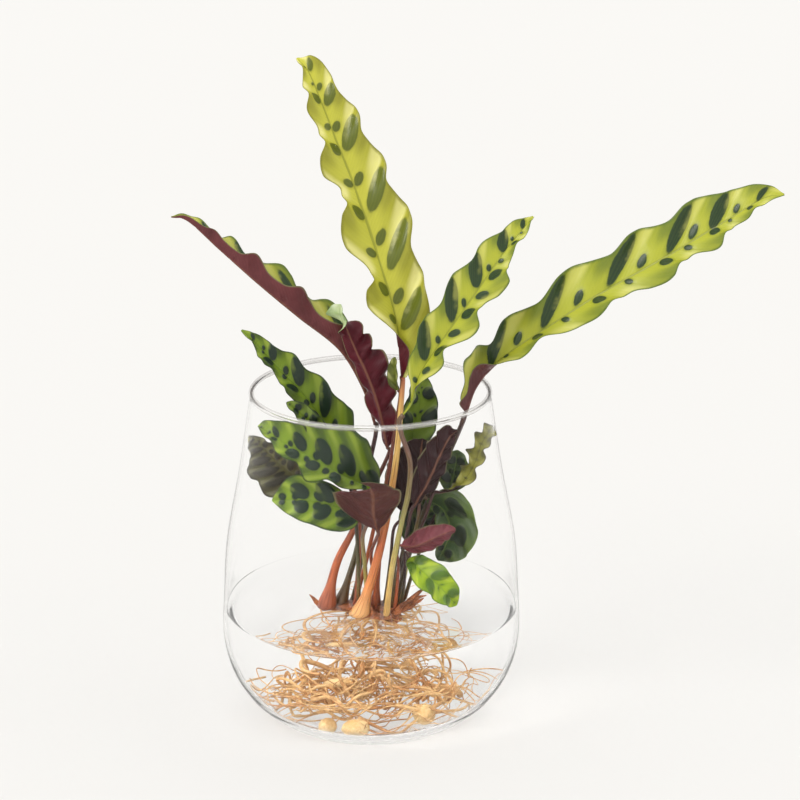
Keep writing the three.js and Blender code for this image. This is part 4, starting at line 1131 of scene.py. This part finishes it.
def root_routes(count, rng, reach, height, rest, curl, wiggle):
    """Routes of roots: from the collar out at an angle, over the height at their reach, then down to rest
    near the floor while they curl round the vase. Small sines make them wander."""
    angle = (np.arange(count) + rng.uniform(-0.5, 0.5, count)) / count * 2 * np.pi
    turn = rng.choice([-1, 1], count) * rng.uniform(*curl, count)
    reach = rng.uniform(*reach, count)
    height = rng.uniform(*height, count)
    rest = rng.uniform(*rest, count)
    start = np.full(count, COLLAR[2])
    between = (start * 2 + height) / 3
    far = np.array([0.08, 0.35, 0.75, 1, 0.97, 0.85])
    twist = np.array([0, 0, 0.1, 0.3, 0.6, 1])
    heights = np.stack([start, between, height, height * 0.8 + rest * 0.2, rest + 2, rest], axis=1)
    way = angle[:, None] + turn[:, None] * twist
    distance = far * reach[:, None]
    knots = np.stack([distance * np.cos(way), distance * np.sin(way), heights], axis=-1)
    return wandering(knots, rng, wiggle)


def loop_routes(count, rng, radius, height, sweep, wiggle):
    """Routes of roots that lie in loops near the floor, mostly in front: at angle a on their arc they stand
    at (radius cos a, TANGLE_PLACE + TANGLE_DEPTH radius sin a, height), with the radius drawn in a little at
    both ends."""
    angle = rng.uniform(0, 2 * np.pi, (count, 1))
    way = angle + rng.choice([-1, 1], (count, 1)) * rng.uniform(*sweep, (count, 1)) * np.linspace(0, 1, 6)
    far = rng.uniform(*radius, (count, 1))
    far = far * (1 - rng.uniform(0, 0.5, (count, 1)) * np.linspace(-1, 1, 6) ** 2)
    heights = rng.uniform(*height, (count, 1)) + rng.uniform(-5, 5, (count, 6))
    knots = np.stack([far * np.cos(way), TANGLE_PLACE + TANGLE_DEPTH * far * np.sin(way), heights], axis=-1)
    return wandering(knots, rng, wiggle)


def wandering(knots, rng, wiggle):
    """Smooth paths through each route's knots, swung by small sines that fade at both ends."""
    count = len(knots)
    paths = np.stack([even_path(route, ROOT_STEPS)[0] for route in knots])
    share = np.linspace(0, 1, paths.shape[1])[None, :, None]
    speed = rng.uniform(4, 14, (count, 3))[:, None]
    phase = rng.uniform(0, 2 * np.pi, (count, 3))[:, None]
    return kept_inside(paths + np.sin(speed * share + phase) * wiggle * np.sin(np.pi * share))


def kept_inside(paths):
    """Points brought inside the glass: no lower than the floor and no further out than the wall there."""
    low = np.clip(paths[..., 2], VASE_FLOOR + ROOT_ROOM, WATER_LEVEL - ROOT_DEPTH)
    radii, heights = np.transpose(VASE_INSIDE)
    wall = np.interp(low, heights, radii) - ROOT_ROOM
    radius = np.linalg.norm(paths[..., :2], axis=-1)
    scale = np.minimum(1, wall / np.maximum(radius, 1e-6))
    return np.concatenate([paths[..., :2] * scale[..., None], low[..., None]], axis=-1)


def make_roots():
    """Roots from the collar, loops of thick and thin roots near the floor, and the tubers among them."""
    rng = np.random.default_rng(SEED)
    groups = [  # paths, thinnest and thickest radius, sides
        (root_routes(20, rng, (30, 64), (50, 58), (42, 54), (0.2, 1.0), 2.5), 0.3, 0.6, 8),
        (root_routes(24, rng, (10, 50), (30, 44), (8, 18), (0.3, 1.6), 3.0), 0.5, 1.1, 10),
        (loop_routes(9, rng, (16, 60), (14, 30), (0.8, 1.6), 3.0), 1.1, 1.8, 12),
        (loop_routes(44, rng, (16, 82), (9, 30), (0.8, 2.0), 4.0), 0.45, 0.95, 8),
        (loop_routes(90, rng, (12, 86), (8, 32), (0.6, 2.0), 5.0), 0.2, 0.45, 6),
    ]
    parts = [egg(COLLAR, COLLAR_RADII, wrinkle=0.06, seed=3)]
    for paths, low, high, sides in groups:
        taper = along([1.25, 1, 1, 0.9, 0.6], np.linspace(0, 1, paths.shape[1]))
        points, faces, _ = tubes(paths, rng.uniform(low, high, len(paths))[:, None] * taper, sides)
        parts.append((points, faces))
    skin = root_skin("root_skin", (230, 192, 136), (190, 136, 84), 60)
    roots = make_piece("root_tangle", *joined(parts), finishes=[skin])
    add_piece(roots, "root", "roots")
    eggs = [
        egg((x, y, VASE_FLOOR + GAP + radii[2] + lift), radii, turn, wrinkle=0.03, seed=index)
        for index, ((x, y), lift, radii, turn) in enumerate(TUBERS)
    ]
    skin = root_skin("tuber_skin", (244, 216, 160), (222, 180, 118), 90)
    tubers = make_piece("tubers", *joined(eggs), finishes=[skin])
    add_piece(tubers, "root")


# Vase and water


def make_vase():
    """Glass body: its profile runs up the outside, over the wall's end in the rim and down the inside."""
    places = np.linspace(0, 1, PROFILE_STEPS)
    outside = smooth_path(VASE_OUTSIDE, places)
    inside = smooth_path(VASE_INSIDE, places)[::-1]
    angle = np.linspace(0, np.pi, 17)[1:-1]
    end = np.stack([RIM_RADIUS + WALL_HALF * np.cos(angle), WALL_TOP + WALL_HALF * np.sin(angle)], axis=1)
    foot = [[0, 0], [FOOT_RADIUS - 6, 0]]
    floor = [[30, VASE_FLOOR - 0.1], [0, VASE_FLOOR - 0.2]]
    points, faces = turned(np.vstack([foot, outside, end, inside, floor]))
    vase = make_piece("vase", points, faces, finishes=[clear_glass()])
    add_piece(vase, "glass", "glass_vase")


def make_rim():
    """Rounded rim, a ring: at angle a round the vase and angle b round the rim a point stands at distance
    RIM_RADIUS + RIM_HALF cos b from the axis and RIM_HALF sin b over the middle of the rim."""
    a = np.arange(TURNS) * 2 * np.pi / TURNS
    b = np.arange(RIM_SIDES)[:, None] * 2 * np.pi / RIM_SIDES
    distance = RIM_RADIUS + RIM_HALF * np.cos(b)
    height = RIM_TOP - RIM_HALF + RIM_HALF * np.sin(b) + 0 * a
    points = np.stack([distance * np.cos(a), distance * np.sin(a), height], axis=-1).reshape(-1, 3)
    quads = grid_quads(RIM_SIDES + 1, TURNS, wrap=True) % len(points)
    rim = make_piece("rim", points, [quads], finishes=[rim_glass()])
    add_piece(rim, "glass")


def make_water():
    """Water up to its level, just short of the glass, with a bent rim where it climbs the wall."""
    inside = smooth_path(VASE_INSIDE, np.linspace(0, 1, 240))
    wet = inside[inside[:, 1] < WATER_LEVEL + MENISCUS]
    wall = wet + np.array([-WATER_GAP, WATER_GAP])
    wall[:, 1] = np.minimum(wall[:, 1], WATER_LEVEL + MENISCUS)
    away = np.linspace(0, 4 * MENISCUS, 14)
    edge = np.stack([wall[-1, 0] - away, WATER_LEVEL + MENISCUS * np.exp(-away / MENISCUS * 1.2)], axis=1)
    bottom = [[0, VASE_FLOOR + WATER_GAP], [40, VASE_FLOOR + WATER_GAP]]
    middle = [[30, WATER_LEVEL], [0, WATER_LEVEL]]
    profile = np.vstack([bottom, wall, edge, middle])
    points, faces = turned(profile)
    on_top = np.repeat(np.arange(len(profile) - 3) >= len(wall), TURNS)
    numbers = np.concatenate([on_top, np.zeros(TURNS), np.ones(TURNS)])
    finishes = [clear_water("water_side", WATER_SIDE_IOR), clear_water("water_top", WATER_TOP_IOR)]
    water = make_piece("water_body", points, faces, None, finishes, numbers)
    add_piece(water, "water", "water")


# Camera, floor and light


def make_sun(name, place, spread, power, colour=(1, 1, 1)):
    """A soft light from a place as seen from the vase."""
    lamp = bpy.data.lights.new(name, "SUN")
    lamp.angle = np.radians(spread)
    lamp.energy = power
    lamp.color = colour
    lamp.cycles.use_multiple_importance_sampling = False
    holder = bpy.data.objects.new(name, lamp)
    holder.rotation_euler = Vector(place).to_track_quat("Z", "Y").to_euler()
    bpy.context.scene.collection.objects.link(holder)


def studio_walls():
    """White room: bright all round, darker in a patch in front, and near the horizon as bright as the
    floor."""
    room = Finish("studio", "worlds")
    way = room.node("ShaderNodeTexCoord")
    parts = room.node("ShaderNodeSeparateXYZ", inputs={"Vector": way})
    dark = (parts.at(1) * -1 - abs(parts.at(2)) * 0.4).rise(0.75, 0.95)
    colour = room.mix(dark, (1, 0.998, 0.985, 1), (0.8, 0.8, 0.8, 1))
    colour = room.mix(abs(parts.at(2)).rise(0.12, 0.02), colour, (1.12, 1.112, 1.09, 1))
    background = room.node("ShaderNodeBackground", inputs={"Color": colour, "Strength": 0.85})
    room.node("ShaderNodeOutputWorld", inputs={"Surface": background})
    return room.material


def make_stage():
    """Camera, pale floor, white room and two soft lamps."""
    scene = bpy.context.scene
    camera_data = bpy.data.cameras.new("camera")
    camera_data.lens = CAMERA_LENS
    camera_data.sensor_width = CAMERA_SENSOR
    camera = bpy.data.objects.new("camera", camera_data)
    camera.location = Vector(CAMERA_PLACE) * MM
    camera.rotation_euler = Euler((np.radians(90 - CAMERA_PITCH), 0, 0))
    scene.collection.objects.link(camera)
    scene.camera = camera
    corners = np.array([(-1, -1, 0), (1, -1, 0), (1, 1, 0), (-1, 1, 0)]) * FLOOR_HALF
    floor = make_piece("floor", corners, [np.array([[0, 1, 2, 3]])], finishes=[floor_finish()])
    scene.world = studio_walls()
    scene.view_settings.view_transform = "Standard"
    make_sun("key", (-1.2, -0.9, 1.4), 34, 1.6, (1, 0.985, 0.96))
    make_sun("side", (1.4, -0.3, 1.6), 40, 0.4)


make_leaves()
make_crown()
make_roots()
make_vase()
make_rim()
make_water()
make_stage()
